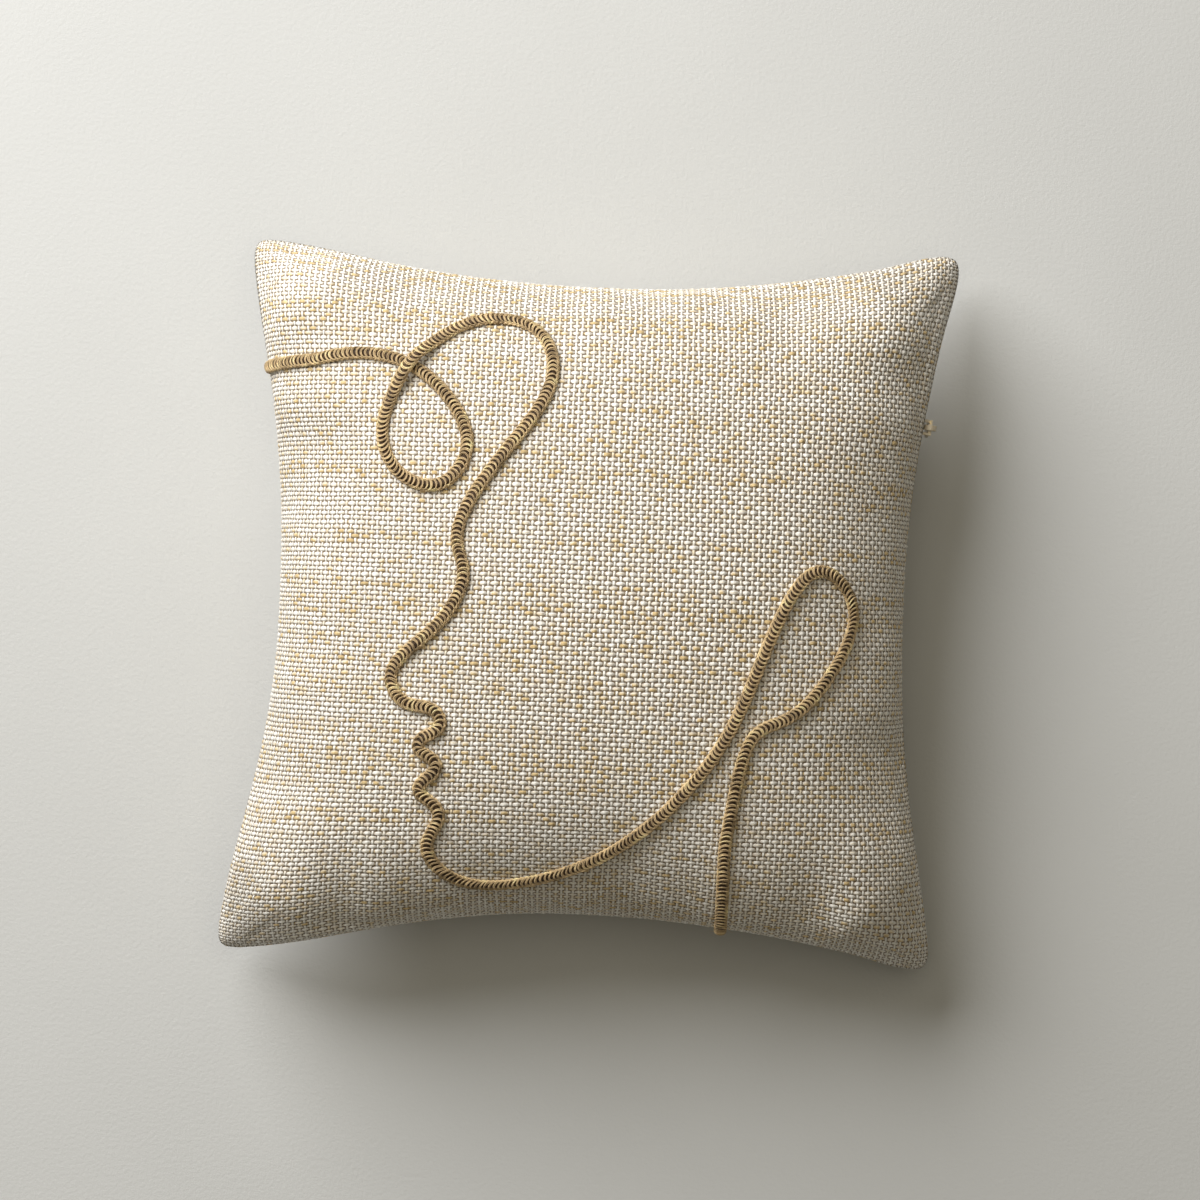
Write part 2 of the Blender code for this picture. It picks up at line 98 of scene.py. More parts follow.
# Its uneven tips: side in x, side in y, the product where the pull begins and where it is whole,
# and the pull in x and y. Then how far its left side is drawn in beyond the others.
TIP_PULLS = (
    (-1, -1, 0.05, 0.75, -0.0028, -0.0027),
    (1, 1, 0.66, 0.90, 0.0019, 0.0024),
    (1, -1, 0.66, 0.90, 0.0006, -0.0017),
)
LEFT_SIDE = 0.0013

# The cover is simulated larger than life, because the simulation's own distances are coarse.
SIMULATION_SCALE = 10.0

# A panel: its inside has every fourth point of its outside, and half widths of its yarns as shares
# of their spacing.
INNER_STEP = 4
WEFT_HALF, WARP_HALF = 0.5, 0.34

# The cord: how near the rim its route's flat places may come, the step between its points, how near
# its strands are where it crosses itself and how far the upper one rises, its stray fibres, and the
# painted shade of its depths.
NEAR_RIM = 0.985
CORD_STEP = 0.0004
CROSSING_NEAR = 0.0008
CROSSING_RISE = 0.0022
FIBRES = 340
JUTE_SHADOW = (0.10, 0.07, 0.045)

# The insert: the casing's and the filling's distance from the seam plane, the casing's ease when
# flat, and cells along a side.
CASING_LIP = 0.00035
FILL_LIP = 0.0002
INSERT_CELLS = 88

# Threads: thickness, step between points, and cells along each side of a rim line.
SEWN_THREAD = 0.0004
THREAD_STEP = 0.0006
RIM_CELLS = 160

# Waves and size of the sine that steady random numbers come from.
HASH_WAVES = (12.9898, 78.233, 37.719)
HASH_SIZE = 43758.5453

# The stage, in metres but for the sensor, which is in millimetres.
KEY_PLACE, KEY_AIM, KEY_SHADE = (-0.53, 0.65, 0.64), (0.1, -0.08, 0.0), (1.0, 0.99, 0.97)
FILL_PLACE, FILL_AIM, FILL_SHADE = (0.1, 0.12, 1.2), (0.03, 0.0, 0.03), (1.0, 0.92, 0.74)
FILL_SIZE = 0.9
SKY_SHADE = (1.0, 0.91, 0.70)
FLOOR_HALF = 1.5
FLOOR_DROP = 0.00002
SENSOR = 36.0

SEAM = np.array([0.0, 0.0, SEAM_HEIGHT])
FRONT, BACK = 1, -1


# Settings


def length(name, description, default, low=0.0, high=1.0):
    return bpy.props.FloatProperty(
        name=name, description=description, default=default, min=low, max=high,
        precision=5, unit="LENGTH", subtype="DISTANCE",
    )


def share(name, description, default, low=0.0, high=1.0):
    return bpy.props.FloatProperty(
        name=name, description=description, default=default, min=low, max=high, subtype="FACTOR",
    )


def colour(name, description, default):
    return bpy.props.FloatVectorProperty(
        name=name, description=description, default=default, size=3, min=0.0, max=1.0,
        subtype="COLOR",
    )


def amount(name, description, default):
    return bpy.props.FloatProperty(name=name, description=description, default=default)


def counted(name, description, default, low=1, high=1000):
    return bpy.props.IntProperty(
        name=name, description=description, default=default, min=low, max=high)


class RingPillowCover(bpy.types.PropertyGroup):
    """Sizes of the woven cover"""

    warps: counted("Warp yarns", "Upright yarns across the flat cover", 130, 20, 200)
    wefts: counted("Weft yarns", "Level yarns up the flat cover", 164, 20, 240)
    flat: length("Flat side", "Side of the finished cover, lying flat", 0.2)
    relief: length("Yarn relief", "Height of a yarn's crown over the gap beside it", 0.0004)
    waver: share("Waver", "How far yarns stray from straight, as a share of their spacing", 0.16)
    sheet_cells: counted("Simulation cells", "Cells along a side of each simulated sheet", 72)
    frames: counted("Simulation frames", "Frames that the filled cover settles for", 26)
    droop: length("Droop", "How far the tips hang under the seam's height", 0.018)
    pucker: length("Puckers", "Depth of the soft puckers along the seam", 0.0013)
    lump: length("Lumps", "Height of the filling's broad lumps", 0.0009)
    pressure: amount("Fill pressure", "Pressure of the insert on the cover", 4.0)
    tension: amount("Stretch stiffness", "How hard the cover resists stretching", 60.0)
    shear: amount("Shear stiffness", "How hard its weave resists slanting", 12.0)
    bend: amount("Bending stiffness", "How hard it resists bending", 0.08)
    out_cap: length(
        "Swell", "Most that the filled cover may stand out from its nominal form", 0.0022)
    in_cap: length("Sink", "Most that it may sink under its nominal form", 0.0009)
    lip: length("Seam lip", "Half of the cleft along the seam", 0.00018)
    zip_lip: length("Zip lip", "Half of the slit over the zip", 0.00075)


class RingPillowCord(bpy.types.PropertyGroup):
    """Sizes of the chain-stitched jute cord"""

    width: length("Width", "Width over both edge plies", 0.0035)
    pitch: length("Stitch", "Length of one chain stitch", 0.00124)
    arch: length("Arch strand", "Radius of the strand that arches over", 0.000158)
    bow: length("Bow", "How far the top of an arch lags behind its feet", 0.0014)
    rise: length("Rise", "Height of an arch over its feet", 0.00095)
    ply: length("Ply", "Radius of one ply at the edges", 0.00027)
    twist: length("Twist", "Length of one turn of the edge plies", 0.0027)
    hump: length("Hump", "Half-length of the rise where the cord passes over itself", 0.011)
    seat: length("Seat", "Height of the cord's underside over the cover's middle surface", 0.0002)
    sink: length("Sink", "How far each end of the cord goes down into the seam", 0.0017)


class RingPillowZip(bpy.types.PropertyGroup):
    """Sizes of the concealed zip and the stitching"""

    tooth: length("Tooth spacing", "Length of one turn of a coil", 0.00125)
    wire: length("Coil wire", "Radius of the coil's wire", 0.00019)
    stitch: length("Stitch length", "Length of a lockstitch", 0.0026)
    bevel: length("Edge rounding", "Rounding of the metal's edges", 0.00012)


class RingPillowColours(bpy.types.PropertyGroup):
    """Colours of the finishes"""

    warp: colour("Warp", "Upright yarns", (0.93, 0.905, 0.855))
    cream: colour("Cream weft", "Most of the level yarns", (0.89, 0.80, 0.64))
    golden: colour("Golden weft", "Golden slubs in the level yarns", (0.74, 0.56, 0.29))
    rose: colour("Rose weft", "Pinkish beige slubs in the level yarns", (0.76, 0.67, 0.58))
    # The gap colour is painted shade, for the gaps between yarns where shade falls.
    gap: colour("Gap", "Depth of the gaps between yarns", (0.17, 0.112, 0.06))
    jute: colour("Jute", "Light jute fibre", (0.72, 0.52, 0.28))
    jute_dark: colour("Dark jute", "Dark jute fibre", (0.11, 0.058, 0.018))
    thread: colour("Thread", "Sewing thread", (0.72, 0.64, 0.50))
    cotton: colour("Casing", "Cotton of the insert", (0.80, 0.78, 0.73))
    fibre: colour("Fibre", "Polyester filling", (0.86, 0.86, 0.85))
    tape: colour("Tape", "Zip tape", (0.62, 0.54, 0.41))
    coil: colour("Coil", "Nylon coil", (0.70, 0.62, 0.48))
    lacquer: colour("Lacquer", "Lacquer on the slider, pull and stops", (0.60, 0.52, 0.39))
    brass: colour("Metal", "Brass under the lacquer", (0.62, 0.50, 0.30))
    floor: colour("Floor", "Paper that the pillow lies on", (0.57, 0.576, 0.572))


class RingPillowStage(bpy.types.PropertyGroup):
    """Camera, light and floor"""

    view_width: length("View width", "Width that the camera sees at the seam", 0.320)
    lens: amount("Lens", "Focal length in millimetres", 135.0)
    roll: bpy.props.FloatProperty(
        name="Roll", description="Turn of the camera about its line of sight",
        default=math.radians(2.2), subtype="ANGLE", unit="ROTATION")
    shift_x: length("Aim, X", "Camera's aim beside the pillow's middle", 0.0027, -0.1)
    shift_y: length("Aim, Y", "Camera's aim above the pillow's middle", 0.0005, -0.1)
    key_power: amount("Key light", "Power in watts", 18.0)
    key_size: length("Key size", "Side of the key light", 0.90)
    fill_power: amount("Fill light", "Power in watts", 2.6)
    sky: share("Sky", "Strength of the light from all round", 0.105, 0.0, 4.0)


def sizes(group):
    return getattr(bpy.context.scene, group)


# Surfaces. A surface is an array of points, its first axes over its two parameters and its last
# x, y, z.


def unit(vectors):
    return vectors / np.maximum(np.linalg.norm(vectors, axis=-1, keepdims=True), 1e-12)


def step_up(x):
    """Smooth step: 0 below 0, 1 above 1, 3x^2 - 2x^3 between."""
    x = np.clip(x, 0, 1)
    return x * x * (3 - 2 * x)


def hashed(*keys):
    """Steady random numbers from 0 to 1, one for each entry of the keys: the fraction of a large
    sine."""
    mixed = sum(np.asarray(key, float) * wave for key, wave in zip(keys, HASH_WAVES))
    return np.mod(np.sin(mixed) * HASH_SIZE, 1.0)


def soft_noise(x, y, seed=0.0):
    """Value noise from 0 to 1: hashes at whole numbers, blended by smooth steps between them."""
    i, j = np.floor(x), np.floor(y)
    s, t = step_up(x - i), step_up(y - j)
    low = hashed(i, j, seed) * (1 - s) + hashed(i + 1, j, seed) * s
    high = hashed(i, j + 1, seed) * (1 - s) + hashed(i + 1, j + 1, seed) * s
    return low * (1 - t) + high * t


def grid_faces(rows, columns, around=False, start=0):
    """Quads of a grid of points stored row by row, facing along the rows' step times the columns'.
    around joins the last column to the first."""
    across = np.arange(columns if around else columns - 1)
    i, j = np.meshgrid(np.arange(rows - 1), across, indexing="ij")
    after = (j + 1) % columns
    here, below = i * columns, (i + 1) * columns
    quads = np.stack([here + j, below + j, below + after, here + after], -1)
    return quads.reshape(-1, 4) + start


def drooped(points):
    """points lowered near the cover's four tips, where the plan's x times y is large: nothing falls
    where the zip is, and the tips fall the whole way. Three tips are pulled outwards too, by smooth
    steps of the same product, and the left side is drawn in between its tips."""
    x, y = points[:, 0] / EAR_HALF, points[:, 1] / EAR_HALF
    fall = sizes("ring_pillow_cover").droop * step_up((np.abs(x * y) - 0.6) / 0.36)
    moved = points - fall[:, None] * np.array([0.0, 0.0, 1.0])
    moved[:, 0] += LEFT_SIDE * step_up(-x) * (1 - y * y)
    for right, up, first, last, move_x, move_y in TIP_PULLS:
        held = np.maximum(right * x, 0) * np.maximum(up * y, 0)
        pulled = step_up((held - first) / (last - first))
        moved[:, 0] += move_x * pulled
        moved[:, 1] += move_y * pulled
    return moved


def add_piece(
        name, points, faces, finish, body="pillow", stands_for=(), uv=None, marks=None):
    """A mesh piece with its points in place. faces is a list of arrays, all triangles or all quads
    each. uv holds a point's flat place, and marks maps attribute names to a value for each
    point."""
    points = drooped(np.asarray(points, float).reshape(-1, 3))
    faces = [np.asarray(part, int) for part in faces]
    mesh = bpy.data.meshes.new(name)
    loops = np.concatenate([part.ravel() for part in faces])
    sides = np.concatenate([np.full(len(part), part.shape[1]) for part in faces])
    mesh.vertices.add(len(points))
    mesh.vertices.foreach_set("co", points.astype(np.float32).ravel())
    mesh.loops.add(len(loops))
    mesh.loops.foreach_set("vertex_index", loops.astype(np.int32))
    mesh.polygons.add(len(sides))
    mesh.polygons.foreach_set("loop_start", (np.cumsum(sides) - sides).astype(np.int32))
    mesh.update(calc_edges=True)
    mesh.validate()
    if uv is not None:
        layer = mesh.uv_layers.new(name="flat")
        corners = np.asarray(uv, float).reshape(-1, 2)[loops]
        layer.data.foreach_set("uv", corners.astype(np.float32).ravel())
    for mark, values in (marks or {}).items():
        made = mesh.attributes.new(mark, "FLOAT", "POINT")
        made.data.foreach_set("value", np.asarray(values, float).astype(np.float32).ravel())
    mesh.shade_smooth()
    return placed(bpy.data.objects.new(name, mesh), finish, body, stands_for)


def placed(piece, finish, body, stands_for):
    """piece in the scene, with its finish, on its body and in the place of its CAD nodes."""
    bpy.context.scene.collection.objects.link(piece)
    piece.data.materials.clear()
    piece.data.materials.append(finish)
    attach(piece, body)
    if stands_for:
        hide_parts(*stands_for)
    return piece


def ring_frames(path, up):
    """Tangent, sideways and upward unit vectors along paths of points, the last square to the
    tangent."""
    tangent = unit(np.gradient(path, axis=-2))
    side = unit(np.cross(tangent, up))
    return tangent, side, np.cross(side, tangent)


def tubes(paths, up, radius, sides=6, flatten=1.0):
    """Closed tubes round many paths at once, paths[tube, ring, xyz]: each ring is a circle of the
    given radius, flattened along up, and each end closes to a point."""
    paths = np.asarray(paths, float)
    if paths.ndim == 2:
        paths = paths[None]
    up = np.broadcast_to(up, paths.shape)
    radius = np.broadcast_to(radius, paths.shape[:-1])[..., None, None]
    tangent, side, over = ring_frames(paths, up)
    turn = 2 * np.pi * np.arange(sides) / sides
    circle = (np.cos(turn)[:, None] * side[..., None, :]
              + flatten * np.sin(turn)[:, None] * over[..., None, :])
    rings = paths[..., None, :] + radius * circle
    count, length = paths.shape[:2]
    size = length * sides + 2
    outwards = tangent[:, [0, -1]] * np.array([-0.6, 0.6])[:, None]
    ends = paths[:, [0, -1]] + radius[:, [0, -1], 0] * outwards
    points = np.concatenate([rings.reshape(count, -1, 3), ends], axis=1)
    wall = grid_faces(length, sides, around=True)
    ring = np.arange(sides)
    after = (ring + 1) % sides
    last = (length - 1) * sides
    first_cap = np.stack([ring, after, np.full(sides, size - 2)], 1)
    last_cap = np.stack([last + after, last + ring, np.full(sides, size - 1)], 1)
    caps = np.concatenate([first_cap, last_cap])
    offset = size * np.arange(count)[:, None, None]
    return points, [(wall + offset).reshape(-1, 4), (caps + offset).reshape(-1, 3)]


def tube_values(values, sides):
    """One value for each point of tubes(), from one for each of their rings."""
    values = np.atleast_2d(values)
    rings = np.repeat(values, sides, axis=1)
    return np.concatenate([rings, values[:, [0, -1]]], axis=1)


def tube_uv(paths, sides):
    """A tube's flat places: along it in centimetres and round it from 0 to 1."""
    paths = np.asarray(paths, float)
    if paths.ndim == 2:
        paths = paths[None]
    steps = np.linalg.norm(np.diff(paths, axis=1), axis=2)
    along = 100 * np.concatenate([np.zeros((len(paths), 1)), np.cumsum(steps, axis=1)], axis=1)
    round_it = np.tile(np.arange(sides) / sides, (*along.shape[:2], 1))
    rings = np.stack([np.repeat(along[..., None], sides, axis=2), round_it], -1)
    ends = np.stack([along[:, [0, -1]], np.zeros((len(paths), 2))], -1)
    return np.concatenate([rings.reshape(len(paths), -1, 2), ends], axis=1)


def run_along(path, power=1.0):
    """Run from a path's start to each of its points: the sum of its steps' lengths, to a power."""
    return np.concatenate([[0], np.cumsum(np.linalg.norm(np.diff(path, axis=0), axis=1) ** power)])


def read_along(places, run, values):
    """Rows of values at places counted along run."""
    return np.stack([np.interp(places, run, column) for column in values.T], -1)


def evened(path, step):
    """Points about step apart along a fine path."""
    run = run_along(path)
    return read_along(np.linspace(0, run[-1], max(2, int(round(run[-1] / step)) + 1)), run, path)


def spline(points, step):
    """Even points along the natural cubic spline through points, with root-length spacing."""
    p = np.array(points, float)
    u = run_along(p, 0.5)
    h = np.diff(u)
    system = np.eye(len(u))
    right = np.zeros_like(p)
    inner = np.arange(1, len(u) - 1)
    system[inner, inner - 1] = h[:-1]
    system[inner, inner] = 2 * (h[:-1] + h[1:])
    system[inner, inner + 1] = h[1:]
    slope = np.diff(p, axis=0) / h[:, None]
    right[1:-1] = 6 * np.diff(slope, axis=0)
    bend = np.linalg.solve(system, right)
    at = np.linspace(0, u[-1], 4001)
    k = np.clip(np.searchsorted(u, at) - 1, 0, len(u) - 2)
    before, after, gap = (u[k + 1] - at)[:, None], (at - u[k])[:, None], h[k][:, None]
    fine = ((bend[k] * before**3 + bend[k + 1] * after**3) / (6 * gap)
            + (p[k] / gap - bend[k] * gap / 6) * before
            + (p[k + 1] / gap - bend[k + 1] * gap / 6) * after)
    return evened(fine, step)


# The pillow's form


def dome(
        a, b, half=COVER_HALF, crown=CROWN, inset=0.0,
        pull=SIDE_PULL, rounding=TIP_ROUNDING, power=TIP_POWER):
    """A dome's point for angles a and b, -1 to 1. Its plan is a square whose sides are drawn in as
    parabolas and whose tips are rounded, its sections are half ellipses, and inset moves it inwards
    along its normal."""
    s, t = np.sin(a * np.pi / 2), np.sin(b * np.pi / 2)
    pull = pull / half
    tip = 1 - rounding * np.abs(s * t) ** power
    x = half * s * tip * (1 - pull * (1 - t * t) * s * s)
    y = half * t * tip * (1 - pull * (1 - s * s) * t * t)
    z = crown * np.cos(a * np.pi / 2) * np.cos(b * np.pi / 2)
    normal = unit(np.stack([
        s * (1 - t * t + 1e-4) / half, t * (1 - s * s + 1e-4) / half,
        z / crown**2 + 1e-9 + 0 * x], -1))
    return np.stack([x, y, z], -1) - normal * np.asarray(inset)[..., None]


def angle_of(u, v):
    """Angle of a dome's point at flat place u beside v, each -1 to 1: arc length along the middle
    section, going over to the straight rim's as v nears its end."""
    angles = np.linspace(0, np.pi / 2, 400)
    s = np.sin(angles)
    section = np.stack([EAR_HALF * s - EAR_PULL * s**3, CROWN * np.cos(angles)], 1)
    arc = run_along(section)
    arc /= arc[-1]
    middle = np.sign(u) * np.interp(np.abs(u), arc, angles)
    rim = np.arcsin(np.clip(u, -1, 1))
    return (middle * (1 - v * v) + rim * v * v) * 2 / np.pi


def nominal(u, v, side):
    """The unsettled form over the flat cloth: the dome with blunt tips, turned down for the back
    and flat where it rests."""
    point = dome(
        angle_of(u, v), angle_of(v, u), EAR_HALF,
        pull=EAR_PULL, rounding=EAR_ROUNDING, power=EAR_POWER)
    z = np.maximum(SEAM_HEIGHT + side * point[..., 2], 0.0)
    return np.stack([point[..., 0], point[..., 1], z], -1)


def settled():
    """Front and back as the filled cover settles: two flat sheets sewn round the rim, held there on
    the nominal outline, and blown up by Cloth. The step from the nominal form is capped and fades
    to the rim."""
    cover = sizes("ring_pillow_cover")
    n = cover.sheet_cells + 1
    u, v = np.meshgrid(np.linspace(-1, 1, n), np.linspace(-1, 1, n), indexing="ij")
    front, back = nominal(u, v, FRONT), nominal(u, v, BACK)
    back[..., 2] = SEAM_HEIGHT - (front[..., 2] - SEAM_HEIGHT)
    flat = np.stack([u, v, 0 * u], -1) * cover.flat / 2 * SIMULATION_SCALE
    rim = np.ones((n, n), bool)
    rim[1:-1, 1:-1] = False
    index = np.arange(n * n).reshape(n, n)
    back_index = np.where(rim, index, 0)
    back_index[~rim] = n * n + np.arange((~rim).sum())
    faces = grid_faces(n, n)
    back_faces = back_index.ravel()[faces][:, ::-1]
    start = np.concatenate([front.reshape(-1, 3), back[~rim]]) * SIMULATION_SCALE
    rest = np.concatenate([flat.reshape(-1, 3), flat[~rim]])
    mesh = bpy.data.meshes.new("settling")
    mesh.from_pydata(start.tolist(), [], np.concatenate([faces, back_faces]).tolist())
    bag = bpy.data.objects.new("settling", mesh)
    bpy.context.scene.collection.objects.link(bag)
    bag.vertex_groups.new(name="rim").add(index[rim].tolist(), 1.0, "REPLACE")
    bag.shape_key_add(name="Basis")
    key = bag.shape_key_add(name="flat")
    key.data.foreach_set("co", rest.astype(np.float32).ravel())
    cloth = bag.modifiers.new("cloth", "CLOTH")
    how = cloth.settings
    how.quality = 8
    how.mass = 0.2
    how.tension_stiffness = how.compression_stiffness = cover.tension
    how.shear_stiffness = cover.shear
    how.bending_stiffness = cover.bend
    how.air_damping = 2
    how.rest_shape_key = key
    how.vertex_group_mass = "rim"
    how.use_pressure = True
    how.uniform_pressure_force = cover.pressure
    how.effector_weights.gravity = 0
    cloth.collision_settings.use_collision = False
    cloth.point_cache.frame_end = cover.frames
    for moment in range(1, cover.frames + 1):
        bpy.context.scene.frame_set(moment)
    shape = bag.evaluated_get(bpy.context.evaluated_depsgraph_get()).to_mesh()
    found = np.empty(len(start) * 3, np.float32)
    shape.vertices.foreach_get("co", found)
    bpy.context.scene.frame_set(1)
    bpy.data.objects.remove(bag, do_unlink=True)
    bpy.data.meshes.remove(mesh)
    found = found.reshape(-1, 3).astype(float) / SIMULATION_SCALE
    return (finished_form(u, v, front, found[index]),
            finished_form(u, v, back, found[back_index]))


def finished_form(u, v, form, found):
    """found held near form: its step along form's normal is capped, and so is its step within the
    surface."""
    cover = sizes("ring_pillow_cover")
    out = unit(np.cross(np.gradient(form, axis=0), np.gradient(form, axis=1)))
    out *= np.sign(np.sum(out * (form - SEAM + 1e-9), axis=-1, keepdims=True))
    step = found - form
    along = np.sum(step * out, axis=-1, keepdims=True)
    within = step - along * out
    long = np.linalg.norm(within, axis=-1, keepdims=True)
    slide = cover.out_cap
    within *= slide * np.tanh(long / slide) / np.maximum(long, 1e-9)
    limit = np.where(along > 0, cover.out_cap, cover.in_cap)
    fade = step_up((1 - np.maximum(np.abs(u), np.abs(v))) / 0.06)[..., None]
    rise = limit * np.tanh(along / limit) + unevenness(u, v)[..., None]
    settled_form = form + fade * (within + out * rise)
    settled_form[..., 2] = np.maximum(settled_form[..., 2], 0.0)
    return settled_form


def unevenness(u, v):
    """Step along the normal: broad lumps of the filling, and puckers that run in from the seam."""
    cover = sizes("ring_pillow_cover")
    lumps = soft_noise(u * 2.3 + 7, v * 2.3 + 3, 4.0) - 0.5

    def beside(across, along, seed):
        ridges = soft_noise(along * 8 + 20, across * 1.5 + 20, seed) - 0.5
        return ridges * step_up((np.abs(across) - 0.5) / 0.35) * step_up((1 - np.abs(across)) / 0.1)

    return 2 * cover.lump * lumps + 2 * cover.pucker * (beside(u, v, 11.0) + beside(v, u, 12.0))


def cubic(x, cells):
    """Cell and the four Catmull-Rom weights for places x, -1 to 1, on a line of cells, padded by
    one."""
    place = np.clip((x + 1) / 2 * cells, 0, cells)
    cell = np.minimum(place.astype(int), cells - 1)
    t = place - cell
    return cell, (
        (-t + 2 * t**2 - t**3) / 2, (2 - 5 * t**2 + 3 * t**3) / 2,
        (t + 4 * t**2 - 3 * t**3) / 2, (t**3 - t**2) / 2)


@functools.cache
def form_grids():
    """The settled grid of each side, with a row continued beyond each edge."""
    grids = {}
    for side, grid in zip((FRONT, BACK), settled()):
        wide = np.concatenate([2 * grid[:1] - grid[1:2], grid, 2 * grid[-1:] - grid[-2:-1]])
        before, after = 2 * wide[:, :1] - wide[:, 1:2], 2 * wide[:, -1:] - wide[:, -2:-1]
        grids[side] = np.concatenate([before, wide, after], axis=1)
    return grids


def on_cover(u, v, side=FRONT):
    """Points of the settled cover at flat places u and v: the grid, blended by cubic weights both
    ways."""
    grid = form_grids()[side]
    u, v = np.broadcast_arrays(np.asarray(u, float), np.asarray(v, float))
    i, across = cubic(u, grid.shape[0] - 3)
    j, up = cubic(v, grid.shape[1] - 3)
    points = np.zeros((*u.shape, 3))
    for m in range(4):
        for n in range(4):
            points += grid[i + m, j + n] * (across[m] * up[n])[..., None]
    return points


def outward(u, v, side=FRONT):
    """Outward normals of the settled cover: the cross product of its two small differences."""
    u, v = np.broadcast_arrays(np.asarray(u, float), np.asarray(v, float))
    h = 0.004
    u0, v0 = np.clip(u, -1 + h, 1 - h), np.clip(v, -1 + h, 1 - h)
    du = on_cover(u0 + h, v, side) - on_cover(u0 - h, v, side)
    dv = on_cover(u, v0 + h, side) - on_cover(u, v0 - h, side)
    return side * unit(np.cross(du, dv))


# Woven cover


def woven_height(u_yarns, v_yarns):
    """Plain weave over places counted in yarns: each set of yarns rises and dips as a cosine, out
    of step with the other, each yarn is a half ellipse, and the upper of the two shows. About 0 to
    1."""
    i, j = np.floor(u_yarns), np.floor(v_yarns)
    x, y = u_yarns - i - 0.5, v_yarns - j - 0.5
    over = 1 - 2 * np.mod(i + j, 2)
    weft_round = np.sqrt(np.maximum(1 - (y / WEFT_HALF) ** 2, 0))
    warp_round = np.sqrt(np.maximum(1 - (x / WARP_HALF) ** 2, 0))
    weft = 0.35 + 0.3 * over * np.cos(np.pi * x) + 0.35 * weft_round
    warp = 0.3 - 0.3 * over * np.cos(np.pi * y) + 0.1 * warp_round
    warp = np.where(np.abs(x) < WARP_HALF, warp, 0)
    weft = np.where(np.abs(y) < WEFT_HALF, weft, 0)
    return np.maximum(weft, warp) * (0.85 + 0.3 * hashed(i, j, 3.0))


def panel(side, word):
    """One panel as a closed sheet: woven outside, plain inside at a quarter of the count, joined at
    the rim. The outside is the settled form, moved along its normal by the weave's height."""
    cover = sizes("ring_pillow_cover")
    columns, rows = 2 * cover.warps + 1, 2 * cover.wefts + 1
    k, l = np.meshgrid(np.arange(columns), np.arange(rows), indexing="ij")
    u, v = 2 * k / (columns - 1) - 1, 2 * l / (rows - 1) - 1
    inside = step_up((1 - np.abs(u)) / 0.04) * step_up((1 - np.abs(v)) / 0.04)
    stray_u = (soft_noise(k / 2.0, l / 9.0, 5.0 + side) - 0.5) * 2 * cover.waver / cover.warps
    stray_v = (soft_noise(k / 11.0, l / 2.0, 9.0 + side) - 0.5) * 2 * cover.waver / cover.wefts
    at_u, at_v = u + stray_u * inside * 2, v + stray_v * inside * 2
    height = woven_height(k / 2 + 0.5, l / 2 + 0.5) - 0.5
    swell = 0.75 + 0.5 * soft_noise(k / 14.0, l / 2.0, 21.0 + side)
    base = on_cover(at_u, at_v, side)
    normal = outward(at_u, at_v, side)
    to_rim = np.maximum(np.abs(u), np.abs(v))
    near_rim = step_up((1 - to_rim) / 0.012)
    if side == BACK:
        near_rim *= 0.25 + 0.75 * step_up(base[..., 2] / 0.004)
    lifted = base + normal * (cover.relief * height * swell * near_rim)[..., None]
    if side == BACK:
        lifted[..., 2] = np.maximum(lifted[..., 2], 0.0)
    opening = step_up((ZIP_HALF + 0.006 - np.abs(base[..., 1])) / 0.004) * (u > 0.9)
    lip = cover.lip + (cover.zip_lip - cover.lip) * opening
    sparse = np.s_[::INNER_STEP, ::INNER_STEP]
    folded = 1 + step_up((to_rim - 0.84) / 0.03)[sparse]
    inner = base[sparse] - normal[sparse] * CLOTH * folded[..., None]
    for layer, least in ((lifted, lip), (inner, lip[sparse])):
        layer[..., 2] = SEAM_HEIGHT + side * np.maximum(side * (layer[..., 2] - SEAM_HEIGHT), least)
    if side == BACK:
        inner[..., 2] = np.maximum(inner[..., 2], CLOTH * folded)
    outer_faces = grid_faces(columns, rows)
    inner_faces = grid_faces(*inner.shape[:2], start=columns * rows)[:, ::-1]
    rim_faces = stepped_band(rim_loop(columns, rows), rim_loop(*inner.shape[:2]) + columns * rows)
    faces = [part[:, ::side] for part in (outer_faces, inner_faces, rim_faces)]
    flat = np.stack([(u + 1) / 2, (v + 1) / 2], -1)
    points = np.concatenate([lifted.reshape(-1, 3), inner.reshape(-1, 3)])
    uv = np.concatenate([flat.reshape(-1, 2), flat[sparse].reshape(-1, 2)])
    piece = add_piece(
        f"cover_{word}", points, faces, cover_finish(),
        stands_for=[f"{word}_panel"], uv=uv)


def rim_loop(rows, columns):
    """Indices round a grid's rim, anticlockwise seen from where its rows run right and its columns
    up."""
    index = np.arange(rows * columns).reshape(rows, columns)
    return np.concatenate([index[:-1, 0], index[-1, :-1], index[:0:-1, -1], index[0, :0:-1]])


def stepped_band(fine, coarse):
    """Triangles between a fine loop and a coarse one with one in INNER_STEP of its points: each
    fine step goes to the nearest coarse point, and each coarse step to the fine point midway along
    it."""
    half = INNER_STEP // 2
    k = np.arange(len(fine))
    nearest = coarse[(k + half) // INNER_STEP % len(coarse)]
    fans = np.stack([fine, nearest, fine[(k + 1) % len(fine)]], 1)
    c = np.arange(len(coarse))
    midway = fine[(INNER_STEP * c + half) % len(fine)]
    return np.concatenate([fans, np.stack([midway, coarse[c], coarse[(c + 1) % len(coarse)]], 1)])


# Jute cord


